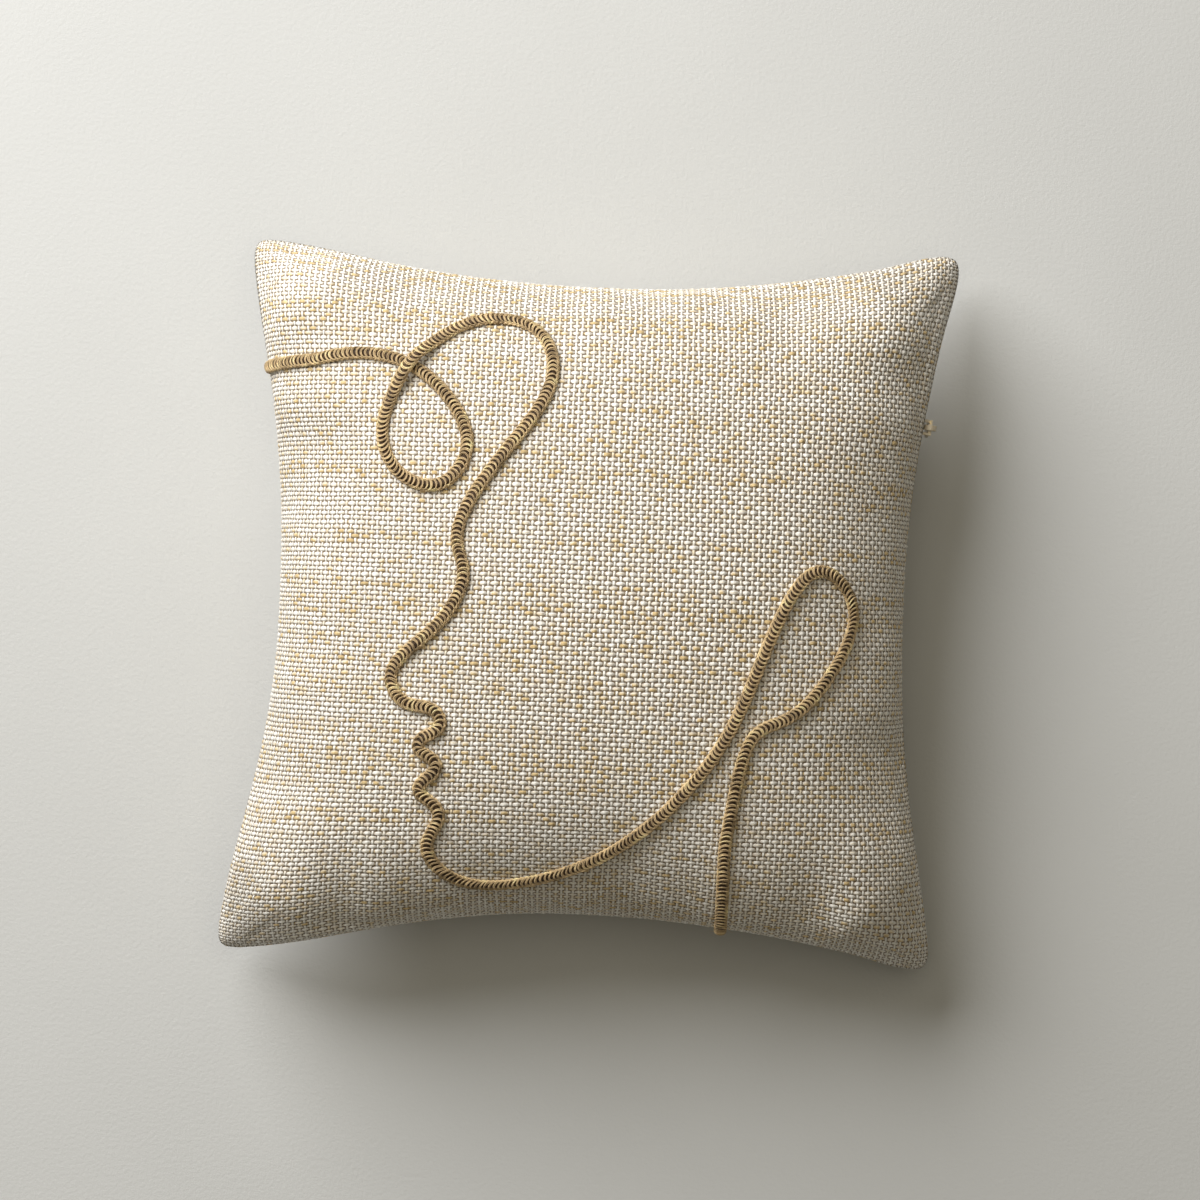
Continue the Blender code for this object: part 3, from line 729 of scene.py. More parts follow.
def flat_place(xy):
    """Flat places of front points seen from above at xy, by Newton's steps on the settled form."""
    s = np.clip(xy / (COVER_HALF - SIDE_PULL / 2), -0.96, 0.96)
    u, v = s[:, 0].copy(), s[:, 1].copy()
    h = 0.003
    for _ in range(14):
        miss = on_cover(u, v)[:, :2] - xy
        du = (on_cover(u + h, v) - on_cover(u - h, v))[:, :2] / (2 * h)
        dv = (on_cover(u, v + h) - on_cover(u, v - h))[:, :2] / (2 * h)
        det = du[:, 0] * dv[:, 1] - du[:, 1] * dv[:, 0]
        det = np.where(np.abs(det) < 5e-4, 5e-4, det)
        step_u = (miss[:, 0] * dv[:, 1] - miss[:, 1] * dv[:, 0]) / det
        step_v = (du[:, 0] * miss[:, 1] - du[:, 1] * miss[:, 0]) / det
        u = np.clip(u - np.clip(step_u, -0.1, 0.1), -NEAR_RIM, NEAR_RIM)
        v = np.clip(v - np.clip(step_v, -0.1, 0.1), -NEAR_RIM, NEAR_RIM)
    return np.stack([u, v], 1)


def cord_line():
    """The cord's seat on the cover: fine even points, the cover's normals, and the lift off it,
    which rises where the cord crosses itself and goes down into the seam at both ends."""
    cord = sizes("ring_pillow_cord")
    entry_v, exit_u = ENTRY_Y / COVER_HALF, EXIT_X / COVER_HALF
    flat = flat_place(spline(ROUTE, 0.001))
    flat = np.concatenate([[(-1.0, entry_v), (-NEAR_RIM, entry_v + 0.001)], flat,
                           [(exit_u, -0.97), (exit_u, -1.0)]])
    kept = flat[::3]
    if len(flat) % 3 != 1:
        kept = np.concatenate([kept, flat[-1:]])
    u, v = spline(kept, 0.002).T
    path, normal = on_cover(u, v), outward(u, v)
    run = run_along(path)
    even = np.arange(0, run[-1], CORD_STEP)
    path, normal = read_along(even, run, path), unit(read_along(even, run, normal))
    ends = step_up(1 - even / 0.005) + step_up(1 - (even[-1] - even) / 0.003)
    return path, normal, crossing_lift(path[:, :2], cord) - cord.sink * ends


def crossing_lift(xy, cord):
    """Rise of the later strand where it passes over an earlier one: a squared cosine, hump to
    either side."""
    near = int(3 * cord.hump / CORD_STEP)
    place = np.arange(len(xy))
    gaps = np.linalg.norm(xy[:, None] - xy[None, ::3], axis=2)
    later = place[:, None] - place[None, ::3] > near
    met = np.where(np.where(later, gaps, 1.0).min(axis=1) < CROSSING_NEAR)[0]
    if len(met) == 0:
        return np.zeros(len(xy))
    away = np.abs(place[:, None] - met[None]).min(axis=1) * CORD_STEP
    return CROSSING_RISE * np.cos(np.clip(away / cord.hump, 0, 1) * np.pi / 2) ** 2


def along_cord(places, line):
    """Seat, sideways and up at places counted in metres along the cord."""
    path, normal, lift = line
    run = np.arange(len(path)) * CORD_STEP
    seated = path + normal * (sizes("ring_pillow_cord").seat + lift)[:, None]
    _, side, up = ring_frames(seated, normal)
    return (read_along(places, run, seated), unit(read_along(places, run, side)),
            unit(read_along(places, run, up)))


def cord_pieces():
    """The cord: edge plies over a core, arches of the chain stitch over them, and stray fibres."""
    line = cord_line()
    long = (len(line[0]) - 1) * CORD_STEP
    for pieces in (cord_plies, cord_arches, cord_fibres):
        pieces(line, long, sizes("ring_pillow_cord"))


def cord_plies(line, long, cord):
    """Two plies to each edge, each a helix about a line that runs beside the cord's middle, and a
    flattened tube between them as the core."""
    places = np.arange(0, long, CORD_STEP)
    seat, side, up = along_cord(places, line)
    edge, spin, level = cord.width / 2 - 1.7 * cord.ply, 0.75 * cord.ply, 1.7 * cord.ply
    paths = []
    for hand in (-1, 1):
        drift = 0.7 * soft_noise(places * 90, hand + 0 * places)
        for ply in (0, 1):
            turn = hand * 2 * np.pi * places / cord.twist + ply * np.pi + drift
            paths.append(seat + side * (hand * edge + spin * np.cos(turn))[:, None]
                         + up * (level + spin * np.sin(turn))[:, None])
    plies = np.stack(paths)
    thick = cord.ply * (0.9 + 0.25 * soft_noise(places * 400, 3 + 0 * places))
    points, faces = tubes(plies, up[None], thick[None], sides=6)
    points = points.reshape(-1, 3)
    core = (seat + up * 0.0006)[::3]
    core_points, core_faces = tubes(core, up[::3], 0.0009, sides=8, flatten=0.62)
    core_points = core_points.reshape(-1, 3)
    uv = np.concatenate([tube_uv(plies, 6).reshape(-1, 2), tube_uv(core, 8).reshape(-1, 2)])
    # The light mark paints shade: 1 on the plies, 0 on the core between and under them.
    light = np.concatenate([np.ones(len(points)), np.zeros(len(core_points))])
    add_piece("cord_plies", np.concatenate([points, core_points]),
              [*faces, *[part + len(points) for part in core_faces]], jute_finish(),
              stands_for=["line_cord"], uv=uv, marks={"light": light})


def cord_arches(line, long, cord):
    """Each stitch is two bowed strands side by side, from edge to edge: sideways as a sine, and up
    and back as a cosine."""
    count = int((long - 0.0008) / cord.pitch)
    t = np.linspace(-1, 1, 9)
    crest = np.cos(t * np.pi / 2)[None]
    number = np.arange(count)
    arches, radii, marks = [], [], []
    for strand in (0, 1):
        lag = hashed(number, 4.0)[:, None]
        wide = hashed(number, 8.0 + strand)[:, None]
        loose = hashed(number, 12.0 + strand)[:, None]
        places = ((number + 0.6) * cord.pitch)[:, None] - cord.bow * crest * (0.8 + 0.4 * lag)
        places += (lag - 0.5) * 0.0004 + (wide - 0.5) * 0.0005 * t
        places += (strand - 0.5) * (0.00024 + 0.0001 * loose)
        seat, side, up = along_cord(places, line)
        reach = (cord.width / 2 - 0.9 * cord.ply) * np.sin(t * np.pi / 2)[None]
        across = reach * (0.92 + 0.16 * wide)
        tall = 0.00062 + (cord.rise * (0.85 + 0.3 * loose) - 0.0001 * strand) * crest**0.8
        arches.append(seat + side * across[..., None] + up * tall[..., None])
        radii.append(cord.arch * (0.85 + 0.3 * loose) * (0.8 + 0.2 * crest))
        # The light mark paints shade: less towards the feet of each arch than at its crest, with a
        # random share for each stitch.
        marks.append((0.7 + 0.3 * crest) * (0.8 + 0.4 * wide))
    paths = np.concatenate(arches)
    _, _, over = ring_frames(paths, [0.0, 0.0, 1.0])
    points, faces = tubes(paths, over, np.concatenate(radii), sides=6)
    uv = tube_uv(paths, 6)
    uv[..., 0] += (3.7 * np.arange(len(paths)))[:, None]
    add_piece("cord_arches", points, faces, jute_finish(), uv=uv,
              marks={"light": tube_values(np.concatenate(marks), 6)})


def cord_fibres(line, long, cord):
    """Stray fibres: short curved hairs that leave the cord sideways and upwards."""
    number = np.arange(FIBRES)
    t = np.linspace(0, 1, 7)[None]
    start = (0.003 + (long - 0.006) * hashed(number, 1.0))[:, None]
    hand = np.where(hashed(number, 2.0) < 0.5, -1, 1)[:, None]
    reach = (0.0006 + 0.0022 * hashed(number, 3.0) ** 2)[:, None]
    lean = (hashed(number, 5.0)[:, None] - 0.5) * 2
    curl = (hashed(number, 6.0)[:, None] - 0.5) * 2
    places = start + reach * (lean * t + curl * t * t)
    seat, side, up = along_cord(places, line)
    wide = hand * (cord.width / 2 - 0.0004 + reach * np.sin(t * 1.4))
    tall = 0.0008 + reach * (hashed(number, 7.0)[:, None] * np.sin(t * 2.6) * 0.6)
    paths = seat + side * wide[..., None] + up * tall[..., None]
    points, faces = tubes(paths, [0.0, 0.0, 1.0], 0.00004 * (1.2 - t), sides=3)
    add_piece("cord_fibres", points, faces, jute_finish(),
              uv=tube_uv(paths, 3), marks={"light": np.ones(points.reshape(-1, 3).shape[0])})


# Insert


def casing_form(a, b, side, inset, lip):
    """Point of the insert's casing: a smaller dome, held off its seam plane by lip and off the
    floor."""
    point = dome(a, b, COVER_HALF - CASING_SETBACK, CROWN - CLOTH - CASING_TOP_GAP, inset)
    rise = np.maximum(point[..., 2], lip)
    z = SEAM_HEIGHT + side * rise
    if side == BACK:
        z = np.maximum(z, CLOTH + GAP + inset)
    return np.stack([point[..., 0], point[..., 1], z], -1)


def angle_grid(cells):
    a = np.linspace(-1, 1, cells + 1)
    return np.meshgrid(a, a, indexing="ij")


def crumple(a, b, seed):
    """Shallow folds, 0 to 1: ridged noise that grows towards the rim."""
    edge = np.maximum(np.abs(a), np.abs(b)) ** 3
    broad = soft_noise(a * 5 + 9, b * 5 + 9, seed)
    fine = np.abs(soft_noise(a * 16 + 40, b * 16 + 40, seed + 1) - 0.5) * 2
    return np.clip(0.5 * broad + 0.5 * fine * edge, 0, 1)


def casing_and_fibre():
    """The two halves of the casing and the filling between them. Each is two grids, joined at the
    rim."""
    a, b = angle_grid(INSERT_CELLS)
    uv = np.stack([(a + 1) / 2, (b + 1) / 2], -1).reshape(-1, 2)
    count = a.size
    outer_faces = grid_faces(*a.shape)
    rim = rim_loop(*a.shape)
    after = np.roll(rim, -1)
    band = np.stack([rim, rim + count, after + count, after], 1)
    closed = [outer_faces, outer_faces[:, ::-1] + count, band]

    def insert_piece(name, first, second, faces, finish, node):
        points = np.concatenate([first.reshape(-1, 3), second.reshape(-1, 3)])
        return add_piece(
            name, points, faces, finish, stands_for=[node], uv=np.concatenate([uv, uv]))

    for side, word in ((FRONT, "front"), (BACK, "back")):
        folds = 0.0005 * crumple(a, b, 31.0 + side)
        outer = casing_form(a, b, side, folds, CASING_LIP)
        inner = casing_form(a, b, side, CASING + folds, CASING_LIP)
        piece = insert_piece(
            f"insert_casing_{word}", outer, inner, [part[:, ::side] for part in closed],
            casing_finish(), f"casing_{word}")
    lumps = 0.0009 * soft_noise(a * 13 + 7, b * 13 + 5, 77.0)
    top = casing_form(a, b, FRONT, FILL_SETBACK + lumps, FILL_LIP)
    bottom = casing_form(a, b, BACK, FILL_SETBACK + lumps, FILL_LIP)
    piece = insert_piece(
        "insert_fibre", top, bottom, closed, fibre_finish(), "fibre_fill")


# Stitching


def rim_line(half, inset, gap):
    """Thread points along the rim at seam height, from above a gap of that half-length in the right
    side, round over the top, to below it."""
    turn = np.linspace(-1, 1, RIM_CELLS + 1)[:-1]
    one = np.ones_like(turn)
    a = np.concatenate([one, -turn, -one, turn, one])
    b = np.concatenate([turn, one, -turn, -one, turn])
    points = dome(a, b, half, CROWN, inset)
    points[:, 2] = SEAM_HEIGHT
    first, last = points[:RIM_CELLS], points[-RIM_CELLS:]
    line = [first[first[:, 1] > gap], points[RIM_CELLS:-RIM_CELLS], last[last[:, 1] < -gap]]
    return evened(np.concatenate(line), THREAD_STEP)


def sewn(name, line, sway, up, dip, node, begin=0.0):
    """A thread along line whose stitches swing along sway by dip, as a cosine with a stitch's
    length that begins at that angle. up is what its rings are set out from."""
    place = np.arange(len(line)) * THREAD_STEP
    wave = np.cos(2 * np.pi * place / sizes("ring_pillow_zip").stitch + begin)
    line = line + sway * (dip * wave)[:, None]
    points, faces = tubes(line, up, SEWN_THREAD / 2, sides=6)
    add_piece(name, points, faces, thread_finish(), stands_for=[node],
              uv=tube_uv(line, 6))


def stitching():
    """The cover's and the casing's closing seams, which dip inwards, and the couching zigzag."""
    opening = ZIP_HALF + STOP_LENGTH + 0.0035
    for name, half, inset, gap, dip, node in (
        ("seam_stitches", COVER_HALF, CLOTH, opening, 0.00025, "seam_thread"),
        ("casing_stitches", COVER_HALF - CASING_SETBACK, CASING, 0.002, 0.00015, "casing_thread"),
    ):
        line = rim_line(half, inset, gap)
        inwards = unit(SEAM - line)
        sewn(name, line, inwards, inwards, dip, node)
    path, normal, _ = cord_line()
    clear = path[:, 2] > SEAM_HEIGHT + 0.009
    line = evened(path[clear] - normal[clear] * (CLOTH + 0.0006), THREAD_STEP)
    upright = np.array([0.0, 0.0, 1.0])
    _, side, _ = ring_frames(line, upright)
    sewn("couching_stitches", line, side, upright, 0.0006, "couching_thread", -np.pi / 2)


# Zip


def beside_seam(w, q, z):
    """Point w along the right side's arc, at depth q inside the seam and z over it."""
    turn = np.arcsin(np.asarray(w, float) / SEAM_RADIUS)
    reach = SEAM_RADIUS + q
    x, y = PIVOT_X - reach * np.cos(turn), reach * np.sin(turn)
    return np.stack(np.broadcast_arrays(x, y, SEAM_HEIGHT + z), -1)


def tape_depth(z):
    """Depth of the tape's outer face at height z: the cover's wall where it turns in most, its two
    layers of cloth as their slope cuts them, and the clearance."""
    crown = CROWN * math.sqrt(1 - (ZIP_HALF / COVER_HALF) ** 2)
    half = COVER_HALF - SIDE_PULL
    slope = half * z / crown**2
    wall = half * (1 - np.sqrt(1 - (z / crown) ** 2))
    return wall + 2 * CLOTH * np.sqrt(1 + slope**2) + ZIP_CLEARANCE


COIL_FROM = NECK / 2 + GAP
FLANGE_FROM = COIL_FROM + COIL + GAP
COIL_DEPTH = float(tape_depth(FLANGE_FROM)) + TAPE + GAP


def zip_pieces():
    """Tapes, coils and their stitches on both sides, then the metal. A coil is a helix along the
    side's arc."""
    measures = sizes("ring_pillow_zip")
    beyond = ZIP_HALF + GAP + STOP_LENGTH
    inwards = np.array([1.0, 0.0, 0.0])
    for side, word in ((FRONT, "front"), (BACK, "back")):
        tape_piece(side, word, beyond)
        w = np.linspace(-ZIP_HALF, ZIP_HALF, int(2 * ZIP_HALF / measures.tooth * 12))
        turn = side * 2 * np.pi * (w + ZIP_HALF) / measures.tooth
        swing = COIL / 2 - measures.wire - 0.00002
        path = beside_seam(w, COIL_DEPTH + COIL / 2 + swing * np.cos(turn),
                           side * (COIL_FROM + COIL / 2) + swing * np.sin(turn))
        points, faces = tubes(path, inwards, measures.wire, sides=6)
        add_piece(f"coil_{word}", points, faces, nylon_finish(),
                  stands_for=[f"zip_coil_{word}"], uv=tube_uv(path, 6))
        high = COIL_FROM + TAPE_WIDTH - 2 * THREAD
        w = np.linspace(-beyond, beyond, 200)
        line = beside_seam(w, float(tape_depth(high)) + TAPE + GAP + THREAD / 2, side * high)
        sewn(f"tape_stitches_{word}", evened(line, THREAD_STEP), inwards, inwards, 0.00008,
             f"zip_thread_{word}")
    for node, name, body in (
        ("zip_top_stop", "stop_top", "pillow"), ("zip_bottom_stop", "stop_bottom", "pillow"),
        ("zip_slider", "slider", "slider"), ("zip_pull", "pull", "pull"),
    ):
        polished(node, name, body)


def tape_piece(side, word, beyond):
    """The tape: its CAD section as a closed loop, with fine ribs across its width on both faces."""
    rows = 420
    across = 15
    w = np.linspace(-beyond, beyond, rows)[:, None]
    z = COIL_FROM + TAPE_WIDTH * np.linspace(0, 1, across)[None]
    fade = np.sin(np.pi * (z - COIL_FROM) / TAPE_WIDTH) ** 0.3
    rib = 0.00004 * np.cos(2 * np.pi * w / 0.0009) * fade
    outer = beside_seam(w, tape_depth(z) + 0.00005 + rib, side * z)
    inner = beside_seam(w, tape_depth(z) + TAPE - 0.00005 - rib, side * z)
    loop = np.concatenate([outer, inner[:, ::-1]], axis=1)
    sides = 2 * across
    wall = grid_faces(rows, sides, around=True)
    k = np.arange(across - 1)
    end = np.stack([k, k + 1, sides - 2 - k, sides - 1 - k], 1)
    caps = np.concatenate([end, (end + (rows - 1) * sides)[:, ::-1]])
    faces = [wall, caps] if side == FRONT else [wall[:, ::-1], caps[:, ::-1]]
    along = np.broadcast_to(w * 100, (rows, across))
    up = np.broadcast_to(z * 100, (rows, across))
    uv = np.stack([np.concatenate([along, along], 1), np.concatenate([up, up[:, ::-1]], 1)], -1)
    add_piece(f"tape_{word}", loop, faces, tape_finish(),
              stands_for=[f"zip_tape_{word}"], uv=uv)


def polished(node, name, body):
    """A metal piece from its CAD solid: a merged copy, its flat faces joined, its edges rounded."""
    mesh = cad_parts[node].data.copy()
    mesh.name = name
    bm = bmesh.new()
    bm.from_mesh(mesh)
    bmesh.ops.remove_doubles(bm, verts=bm.verts, dist=1e-6)
    bmesh.ops.dissolve_limit(bm, angle_limit=math.radians(3), verts=bm.verts, edges=bm.edges)
    bm.to_mesh(mesh)
    bm.free()
    mesh.shade_smooth()
    mesh.set_sharp_from_angle(angle=math.radians(40))
    piece = placed(bpy.data.objects.new(name, mesh), metal_finish(), body, [node])
    round_edges = piece.modifiers.new("rounding", "BEVEL")
    round_edges.width = sizes("ring_pillow_zip").bevel
    round_edges.segments = 2
    round_edges.limit_method = "ANGLE"
    round_edges.harden_normals = True


# Finishes


def maths(operation, clamp=False):
    """A method of Wire that adds one Math node."""
    def method(self, *others):
        settings = {"operation": operation, "use_clamp": clamp}
        node = self.finish.node("ShaderNodeMath", settings, dict(enumerate((self, *others))))
        return self.finish.out(node)
    return method


class Wire:
    """A socket of a node tree. Python's operators and these methods on it add Math nodes."""

    def __init__(self, finish, socket):
        self.finish = finish
        self.socket = socket

    __add__ = __radd__ = maths("ADD")
    __mul__ = __rmul__ = maths("MULTIPLY")
    __sub__ = maths("SUBTRACT")
    __truediv__ = maths("DIVIDE")
    __pow__ = maths("POWER")
    floor = maths("FLOOR")
    fraction = maths("FRACT")
    cosine = maths("COSINE")
    root = maths("SQRT")
    size = maths("ABSOLUTE")
    above = maths("GREATER_THAN")
    below = maths("LESS_THAN")
    highest = maths("MAXIMUM")
    clamped_sum = maths("ADD", clamp=True)

    def __rsub__(self, other):
        return self * -1 + other

    def between(self, low, high):
        """0 below low, 1 above high, smooth between."""
        node = self.finish.node("ShaderNodeMapRange", {"interpolation_type": "SMOOTHSTEP"},
                                {"Value": self, "From Min": low, "From Max": high})
        return self.finish.out(node)


class Finish:
    """A material whose nodes are made by one method."""

    def __init__(self, name, roughness, sheen):
        self.material = bpy.data.materials.new(name)
        self.material.use_nodes = True
        self.tree = self.material.node_tree
        self.shader = self.tree.nodes["Principled BSDF"]
        self.set("Roughness", roughness)
        self.set("Sheen Weight", sheen)

    def put(self, socket, value):
        """Links a socket to a Wire, or sets it."""
        if isinstance(value, Wire):
            self.tree.links.new(value.socket, socket)
        elif isinstance(value, tuple) and socket.type == "RGBA":
            socket.default_value = (*value, 1.0)
        else:
            socket.default_value = value

    def set(self, socket, value):
        self.put(self.shader.inputs[socket], value)

    def node(self, kind, settings=None, inputs=None):
        """A node of that kind. Settings come first, a ramp's stops among them, then values or
        links."""
        made = self.tree.nodes.new(kind)
        for key, value in (settings or {}).items():
            if key == "stops":
                ramp = made.color_ramp.elements
                while len(ramp) < len(value):
                    ramp.new(0.5)
                for element, (position, shade) in zip(ramp, value):
                    element.position = position
                    element.color = (*shade, 1.0)
            else:
                setattr(made, key, value)
        for key, value in (inputs or {}).items():
            self.put(made.inputs[key], value)
        return made

    def out(self, node, output=0):
        return Wire(self, node.outputs[output])

    def place(self, kind="Object"):
        """The Object coordinates, or the UV map's."""
        return self.out(self.node("ShaderNodeTexCoord"), kind)

    def parts(self, kind="UV"):
        """x, y and z of the UV map or of the Object coordinates."""
        split = self.node("ShaderNodeSeparateXYZ", None, {0: self.place(kind)})
        return self.out(split, 0), self.out(split, 1), self.out(split, 2)

    def joined(self, x, y, z=0.0):
        return self.out(self.node("ShaderNodeCombineXYZ", None, {0: x, 1: y, 2: z}))

    def noise(self, place, scale, detail=2.0, roughness=0.5):
        node = self.node("ShaderNodeTexNoise", None, {
            "Vector": place, "Scale": scale, "Detail": detail, "Roughness": roughness})
        return self.out(node, "Fac")

    def chance(self, x, y=0.0, z=0.0):
        """A steady random value for whole numbers."""
        node = self.node("ShaderNodeTexWhiteNoise", {"noise_dimensions": "3D"},
                         {"Vector": self.joined(x, y, z)})
        return self.out(node, "Value")

    def ramp(self, value, *stops):
        return self.out(self.node("ShaderNodeValToRGB", {"stops": stops}, {0: value}), "Color")

    def mix(self, factor, first, second, blend="MIX"):
        node = self.node("ShaderNodeMix", {"data_type": "RGBA", "blend_type": blend},
                         {0: factor, 6: first, 7: second})
        return self.out(node, 2)

    def bump(self, height, distance, strength=1.0):
        node = self.node("ShaderNodeBump", None, {
            "Height": height, "Distance": distance, "Strength": strength})
        self.set("Normal", self.out(node))

    def attribute(self, name):
        return self.out(self.node("ShaderNodeAttribute", {"attribute_name": name}), "Fac")


def tone(name, by=1.0):
    """A colour of the settings, lighter or darker by a factor."""
    return tuple(min(1.0, c * by) for c in getattr(sizes("ring_pillow_colours"), name))


def finished(roughness, sheen=0.0):
    """Turns a function that adds a finish's nodes into one that gives its material, built the first
    time only."""
    def wrap(build):
        name = build.__name__.removesuffix("_finish")

        def material():
            if name not in bpy.data.materials:
                build(Finish(name, roughness, sheen))
            return bpy.data.materials[name]
        return material
    return wrap


def weave(f, warps, wefts, warp_half, weft_half):
    """Plain weave from a flat place, in yarns: each weft float is a lozenge that rises and dips as
    a cosine and is rounded across, each warp is a narrower rounded line out of step with it, and
    the upper one shows."""
    u, v, _ = f.parts()
    along, up = u * warps + 0.5, v * wefts + 0.5
    column, row = along.floor(), up.floor()
    x, y = along - column - 0.5, up - row - 0.5
    over = 1 - ((column + row) * 0.5).fraction() * 4
    rise = over * (x * math.pi).cosine()
    reach = rise * (0.12 * weft_half) + 0.9 * weft_half
    weft = rise * 0.5 + (1 - (y / reach) ** 2).highest(0.0).root() * 0.5
    weft = weft * y.size().below(reach)
    dip = over * (y * math.pi).cosine()
    warp = dip * -0.38 + (1 - (x / warp_half) ** 2).highest(0.0).root() * 0.42
    warp = warp * x.size().below(warp_half)
    return weft.highest(warp), weft.above(warp), column, row, along, up


@finished(0.86, sheen=0.15)
def cover_finish(f):
    """Woven cover. A weft's tone comes from slubs along it, from each float and from the whole
    yarn, and painted light and shade make each float lighter at its upper edge and more golden at
    its lower one.
    Fine fibres run along whichever yarn shows, and the gaps between yarns get painted shade."""
    cover = sizes("ring_pillow_cover")
    height, weft_shows, column, row, along, up = weave(f, cover.warps, cover.wefts, 0.21, 0.43)
    slub = f.noise(f.joined(along * 0.3, row * 5.17), 1.0, 2.0)
    each = f.chance((along + (1 - weft_shows)).floor(), row, 2.0)
    whole = f.chance(row, 0.0, 5.0)
    # Painted light and shade: each weft float is lighter towards its upper edge and more golden and
    # darker towards its lower edge.
    underside = (up - row - 0.5) * weft_shows
    weft = f.ramp(
        slub * 0.50 + each * 0.32 + whole * 0.18 - underside * 0.16,
        (0.36, tone("warp", 1.05)), (0.44, tone("warp")), (0.48, tone("cream")),
        (0.52, tone("warp", 0.97)), (0.56, tone("rose")), (0.60, tone("cream")),
        (0.67, tone("golden")), (0.80, tone("golden", 0.8)))
    streak = f.noise(f.joined(column * 3.3, up * 0.12), 1.0, 2.0)
    warp = f.ramp(
        streak * 0.7 + f.chance(column, row, 7.0) * 0.3,
        (0.30, tone("warp", 1.08)), (0.55, tone("warp")), (0.68, tone("cream")),
        (0.80, tone("golden", 1.15)))
    level_fibre = f.noise(f.joined(along * 1.4, up * 7.0), 1.0, 3.0, 0.6)
    upright_fibre = f.noise(f.joined(along * 9.0, up * 1.2), 1.0, 3.0, 0.6)
    fibre = weft_shows * level_fibre + (1 - weft_shows) * upright_fibre
    fleck = f.ramp(fibre, (0.25, (0.62, 0.58, 0.52)), (0.55, (1.0, 1.0, 1.0)))
    yarn = f.mix(1.0, f.mix(weft_shows, warp, weft), fleck, "MULTIPLY")
    # Painted shade: where the weave's height is low, in the gaps between yarns, the colour goes
    # over to the gap colour.
    f.set("Base Color", f.mix(height.between(-0.05, 0.42), tone("gap"), yarn))
    f.bump(height + fibre * 0.16, 0.0006, 1.0)


@finished(0.78, sheen=0.1)
def jute_finish(f):
    """Light and dark strands in long streaks and patches, with painted shade where the cord is
    deep.
    """
    along, round_it, _ = f.parts()
    strand = f.noise(f.joined(along * 4.0, round_it * 9.0 + along * 5.0), 1.0, 3.0, 0.65)
    patch = f.noise(f.place(), 320.0, 2.0)
    # Painted shade: the light mark, 1 where lit and 0 where shaded, mixes the jute towards
    # JUTE_SHADOW.
    depth = f.attribute("light").clamped_sum(0.0)
    jute = f.ramp(
        strand * 0.55 + patch * 0.45, (0.30, tone("jute_dark")), (0.43, tone("jute", 0.6)),
        (0.54, tone("jute")), (0.64, tone("jute", 1.75)))
    f.set("Base Color", f.mix(depth, f.mix(1.0, jute, JUTE_SHADOW, "MULTIPLY"), jute))
    f.bump(strand, 0.00016, 0.9)


@finished(0.6, sheen=0.2)
def thread_finish(f):
    """Twisted thread: slanting bands round it."""
    along, round_it, _ = f.parts()
    twist = ((along * 12.0 + round_it * 2.0) * (2 * math.pi)).cosine()
    bands = f.ramp(twist * 0.5 + 0.5, (0.0, tone("thread", 0.6)), (0.7, tone("thread")))
    f.set("Base Color", bands)
    f.bump(twist, 0.00005)


@finished(0.88, sheen=0.1)
def casing_finish(f):
    """Fine plain cotton with long slubs, and painted shade in the gaps of its weave."""
    height, *_, along, up = weave(f, 420, 420, 0.42, 0.46)
    slub = f.noise(f.joined(along * 0.05, up * 0.4), 1.0, 2.0)
    cotton = f.ramp(slub, (0.3, tone("cotton", 0.88)), (0.6, tone("cotton")))
    # Painted shade: a darker cotton where the weave's height is low, in its gaps.
    f.set("Base Color", f.mix(height.between(0.0, 0.5), tone("cotton", 0.55), cotton))
    f.bump(height, 0.00009, 0.8)


@finished(0.95, sheen=0.3)
def fibre_finish(f):
    """Carded filling: fine strands, bent by a broad noise."""
    bent = f.noise(f.place(), 90.0, 3.0)
    x, y, z = f.parts("Object")
    strands = f.noise(
        f.joined(x * 900.0 + bent * 9.0, y * 160.0 + bent * 12.0, z * 400.0), 1.0, 4.0, 0.7)
    f.set("Base Color", f.ramp(strands, (0.3, tone("fibre", 0.72)), (0.6, tone("fibre"))))
    f.bump(strands + bent, 0.0005, 0.8)


@finished(0.82, sheen=0.1)
def tape_finish(f):
    """Herringbone tape: bands that lean one way and then the other."""
    along, up, _ = f.parts()
    rows, columns = along * 22.0, up * 26.0
    lean = (columns.fraction() - 0.5).size() * 2
    herring = ((rows + lean * 0.5) * (2 * math.pi)).cosine() * 0.5 + 0.5
    f.set("Base Color", f.ramp(herring, (0.1, tone("tape", 0.6)), (0.7, tone("tape"))))
    f.bump(herring, 0.00008)


@finished(0.34)
def nylon_finish(f):
    """Smooth nylon with fine specks."""
    speck = f.noise(f.place(), 700.0, 2.0)
    f.set("Base Color", f.ramp(speck, (0.3, tone("coil", 0.9)), (0.7, tone("coil"))))
    f.set("Roughness", speck * 0.12 + 0.28)


@finished(0.32)
def metal_finish(f):
    """Lacquer in the cloth's tone over brass, worn through in specks."""
    fine = f.noise(f.place(), 1400.0, 4.0, 0.6)
    broad = f.noise(f.place(), 260.0, 3.0)
    bare = (fine * 0.6 + broad * 0.4).between(0.56, 0.6)
    lacquer = f.mix(broad, tone("lacquer", 0.85), tone("lacquer"))
    f.set("Base Color", f.mix(bare, lacquer, tone("brass")))
    f.set("Metallic", bare)
    f.set("Roughness", fine * 0.2 + bare * 0.1 + 0.22)
    f.bump(bare * -1 + fine * 0.3, 0.00003, 0.6)


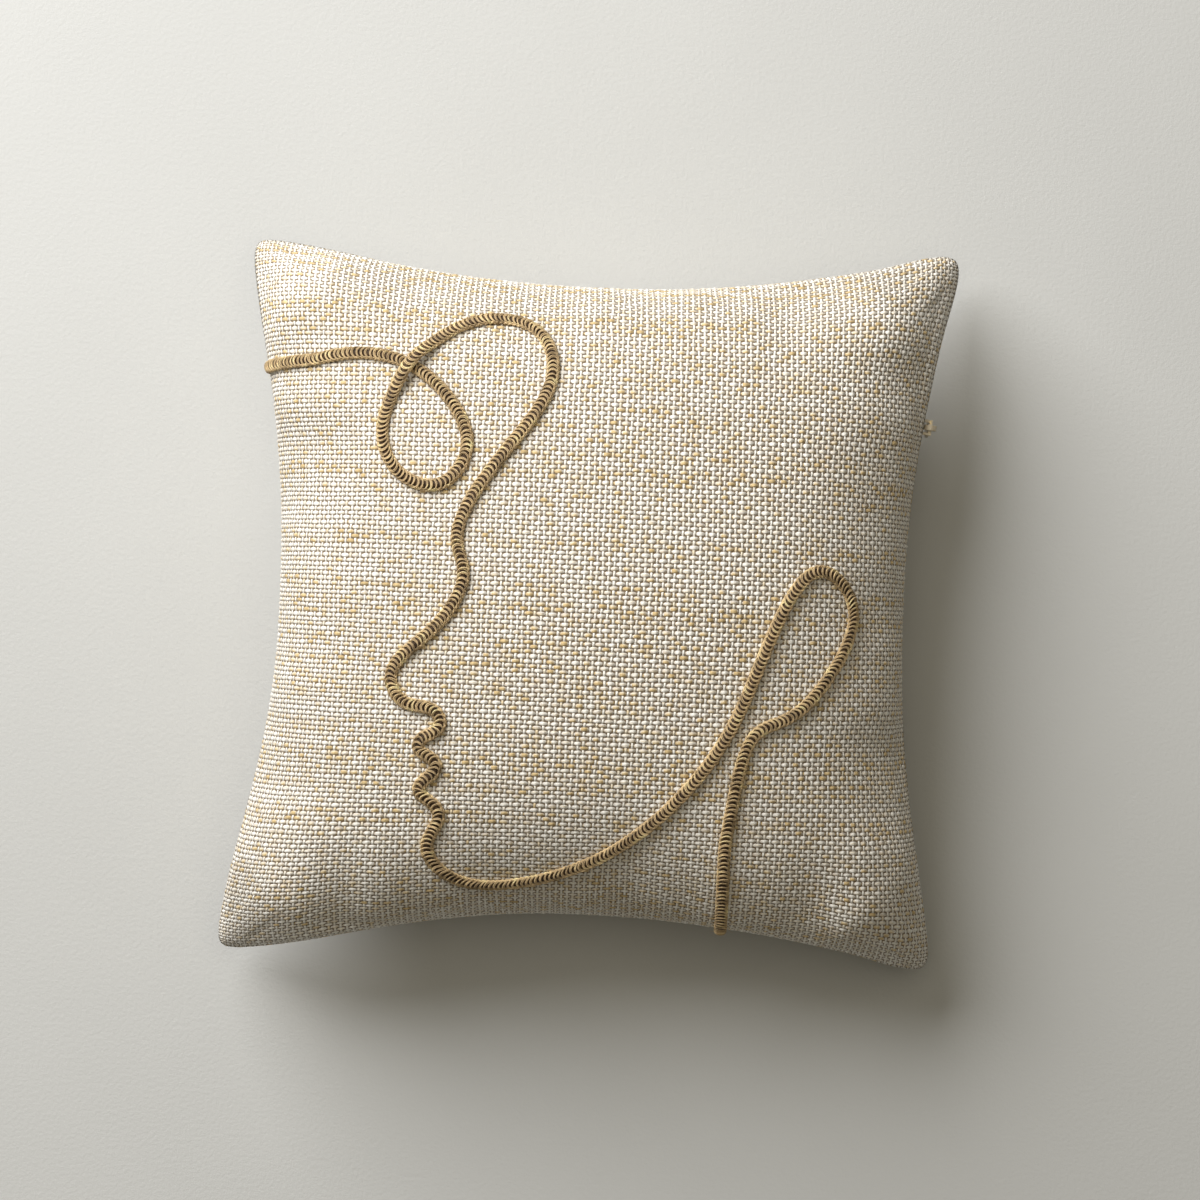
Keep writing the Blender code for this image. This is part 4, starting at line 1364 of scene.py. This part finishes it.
@finished(0.9)
def floor_finish(f):
    """Paper: broad pale clouds and a fine tooth."""
    tooth = f.noise(f.place(), 900.0, 3.0, 0.6)
    cloud = f.noise(f.place(), 9.0, 3.0)
    f.set("Base Color", f.mix(cloud.between(0.3, 0.7), tone("floor", 0.965), tone("floor")))
    f.bump(tooth + cloud * 3.0, 0.00018, 0.55)


# Stage


def area_light(name, place, target, size, power, shade):
    data = bpy.data.lights.new(name, "AREA")
    data.shape = "DISK"
    data.size = size
    data.energy = power
    data.color = shade
    lamp = bpy.data.objects.new(name, data)
    bpy.context.scene.collection.objects.link(lamp)
    lamp.location = place
    lamp.rotation_euler = (Vector(target) - Vector(place)).to_track_quat("-Z", "Y").to_euler()


def stage():
    """Floor, a key and a fill light, light from all round, and a camera straight above the
    pillow."""
    measures = sizes("ring_pillow_stage")
    scene = bpy.context.scene
    steps = np.array([-FLOOR_HALF, 0.0, FLOOR_HALF])
    x, y = np.meshgrid(steps, steps, indexing="ij")
    mesh = bpy.data.meshes.new("floor")
    points = np.stack([x, y, 0 * x - FLOOR_DROP], -1).reshape(-1, 3)
    mesh.from_pydata(points.tolist(), [], grid_faces(*x.shape).tolist())
    mesh.materials.append(floor_finish())
    floor = bpy.data.objects.new("floor", mesh)
    scene.collection.objects.link(floor)
    area_light("key", KEY_PLACE, KEY_AIM, measures.key_size, measures.key_power, KEY_SHADE)
    area_light("fill", FILL_PLACE, FILL_AIM, FILL_SIZE, measures.fill_power, FILL_SHADE)
    world = bpy.data.worlds.new("room")
    world.use_nodes = True
    background = world.node_tree.nodes["Background"]
    background.inputs["Color"].default_value = (*SKY_SHADE, 1.0)
    background.inputs["Strength"].default_value = measures.sky
    scene.world = world
    scene.view_settings.view_transform = "Standard"
    data = bpy.data.cameras.new("camera")
    data.lens = measures.lens
    data.sensor_width = SENSOR
    away = measures.view_width * data.lens / data.sensor_width
    data.clip_start = 0.05
    data.clip_end = 20.0
    camera = bpy.data.objects.new("camera", data)
    scene.collection.objects.link(camera)
    camera.location = (measures.shift_x, measures.shift_y, SEAM_HEIGHT + away)
    camera.rotation_euler = (0.0, 0.0, measures.roll)
    scene.camera = camera


# Operators


class RINGPILLOW_OT_cover(bpy.types.Operator):
    """Weave and fill the cover: front and back panel"""

    bl_idname = "ring_pillow.cover"
    bl_label = "Cover"

    def execute(self, context):
        form_grids.cache_clear()  # The settings may have changed since the form was worked out.
        panel(FRONT, "front")
        panel(BACK, "back")
        return {"FINISHED"}


class RINGPILLOW_OT_cord(bpy.types.Operator):
    """Lay the chain-stitched jute cord on the front"""

    bl_idname = "ring_pillow.cord"
    bl_label = "Jute Cord"

    def execute(self, context):
        cord_pieces()
        return {"FINISHED"}


class RINGPILLOW_OT_insert(bpy.types.Operator):
    """Make the insert: casing and fibre"""

    bl_idname = "ring_pillow.insert"
    bl_label = "Insert"

    def execute(self, context):
        casing_and_fibre()
        return {"FINISHED"}


class RINGPILLOW_OT_stitching(bpy.types.Operator):
    """Sew the seams and couch the cord"""

    bl_idname = "ring_pillow.stitching"
    bl_label = "Stitching"

    def execute(self, context):
        stitching()
        return {"FINISHED"}


class RINGPILLOW_OT_zip(bpy.types.Operator):
    """Make the concealed zip: tapes, coils, stops, slider and pull"""

    bl_idname = "ring_pillow.zip"
    bl_label = "Zip"

    def execute(self, context):
        zip_pieces()
        return {"FINISHED"}


class RINGPILLOW_OT_stage(bpy.types.Operator):
    """Set up floor, light and camera"""

    bl_idname = "ring_pillow.stage"
    bl_label = "Stage"

    def execute(self, context):
        stage()
        return {"FINISHED"}


OPERATORS = (
    RINGPILLOW_OT_insert, RINGPILLOW_OT_cover, RINGPILLOW_OT_cord, RINGPILLOW_OT_stitching,
    RINGPILLOW_OT_zip, RINGPILLOW_OT_stage,
)
SETTINGS = {
    "ring_pillow_cover": RingPillowCover,
    "ring_pillow_cord": RingPillowCord,
    "ring_pillow_zip": RingPillowZip,
    "ring_pillow_colours": RingPillowColours,
    "ring_pillow_stage": RingPillowStage,
}


class RINGPILLOW_PT_panel(bpy.types.Panel):
    """Sizes and colours of the ring pillow, and its pieces"""

    bl_label = "Ring Pillow"
    bl_idname = "RINGPILLOW_PT_panel"
    bl_space_type = "VIEW_3D"
    bl_region_type = "UI"
    bl_category = "Ring Pillow"

    def draw(self, context):
        for attribute, group in SETTINGS.items():
            box = self.layout.box()
            box.label(text=group.__doc__)
            for key in group.__annotations__:
                box.prop(getattr(context.scene, attribute), key)
        for operator in OPERATORS:
            self.layout.operator(operator.bl_idname)


CLASSES = (*SETTINGS.values(), *OPERATORS, RINGPILLOW_PT_panel)


def register():
    for made in CLASSES:
        bpy.utils.register_class(made)
    for attribute, group in SETTINGS.items():
        setattr(bpy.types.Scene, attribute, bpy.props.PointerProperty(type=group))


def unregister():
    for attribute in SETTINGS:
        delattr(bpy.types.Scene, attribute)
    for made in reversed(CLASSES):
        bpy.utils.unregister_class(made)


def main():
    register()
    for operator in OPERATORS:
        category, action = operator.bl_idname.split(".")
        getattr(getattr(bpy.ops, category), action)()


if __name__ == "__main__":
    main()
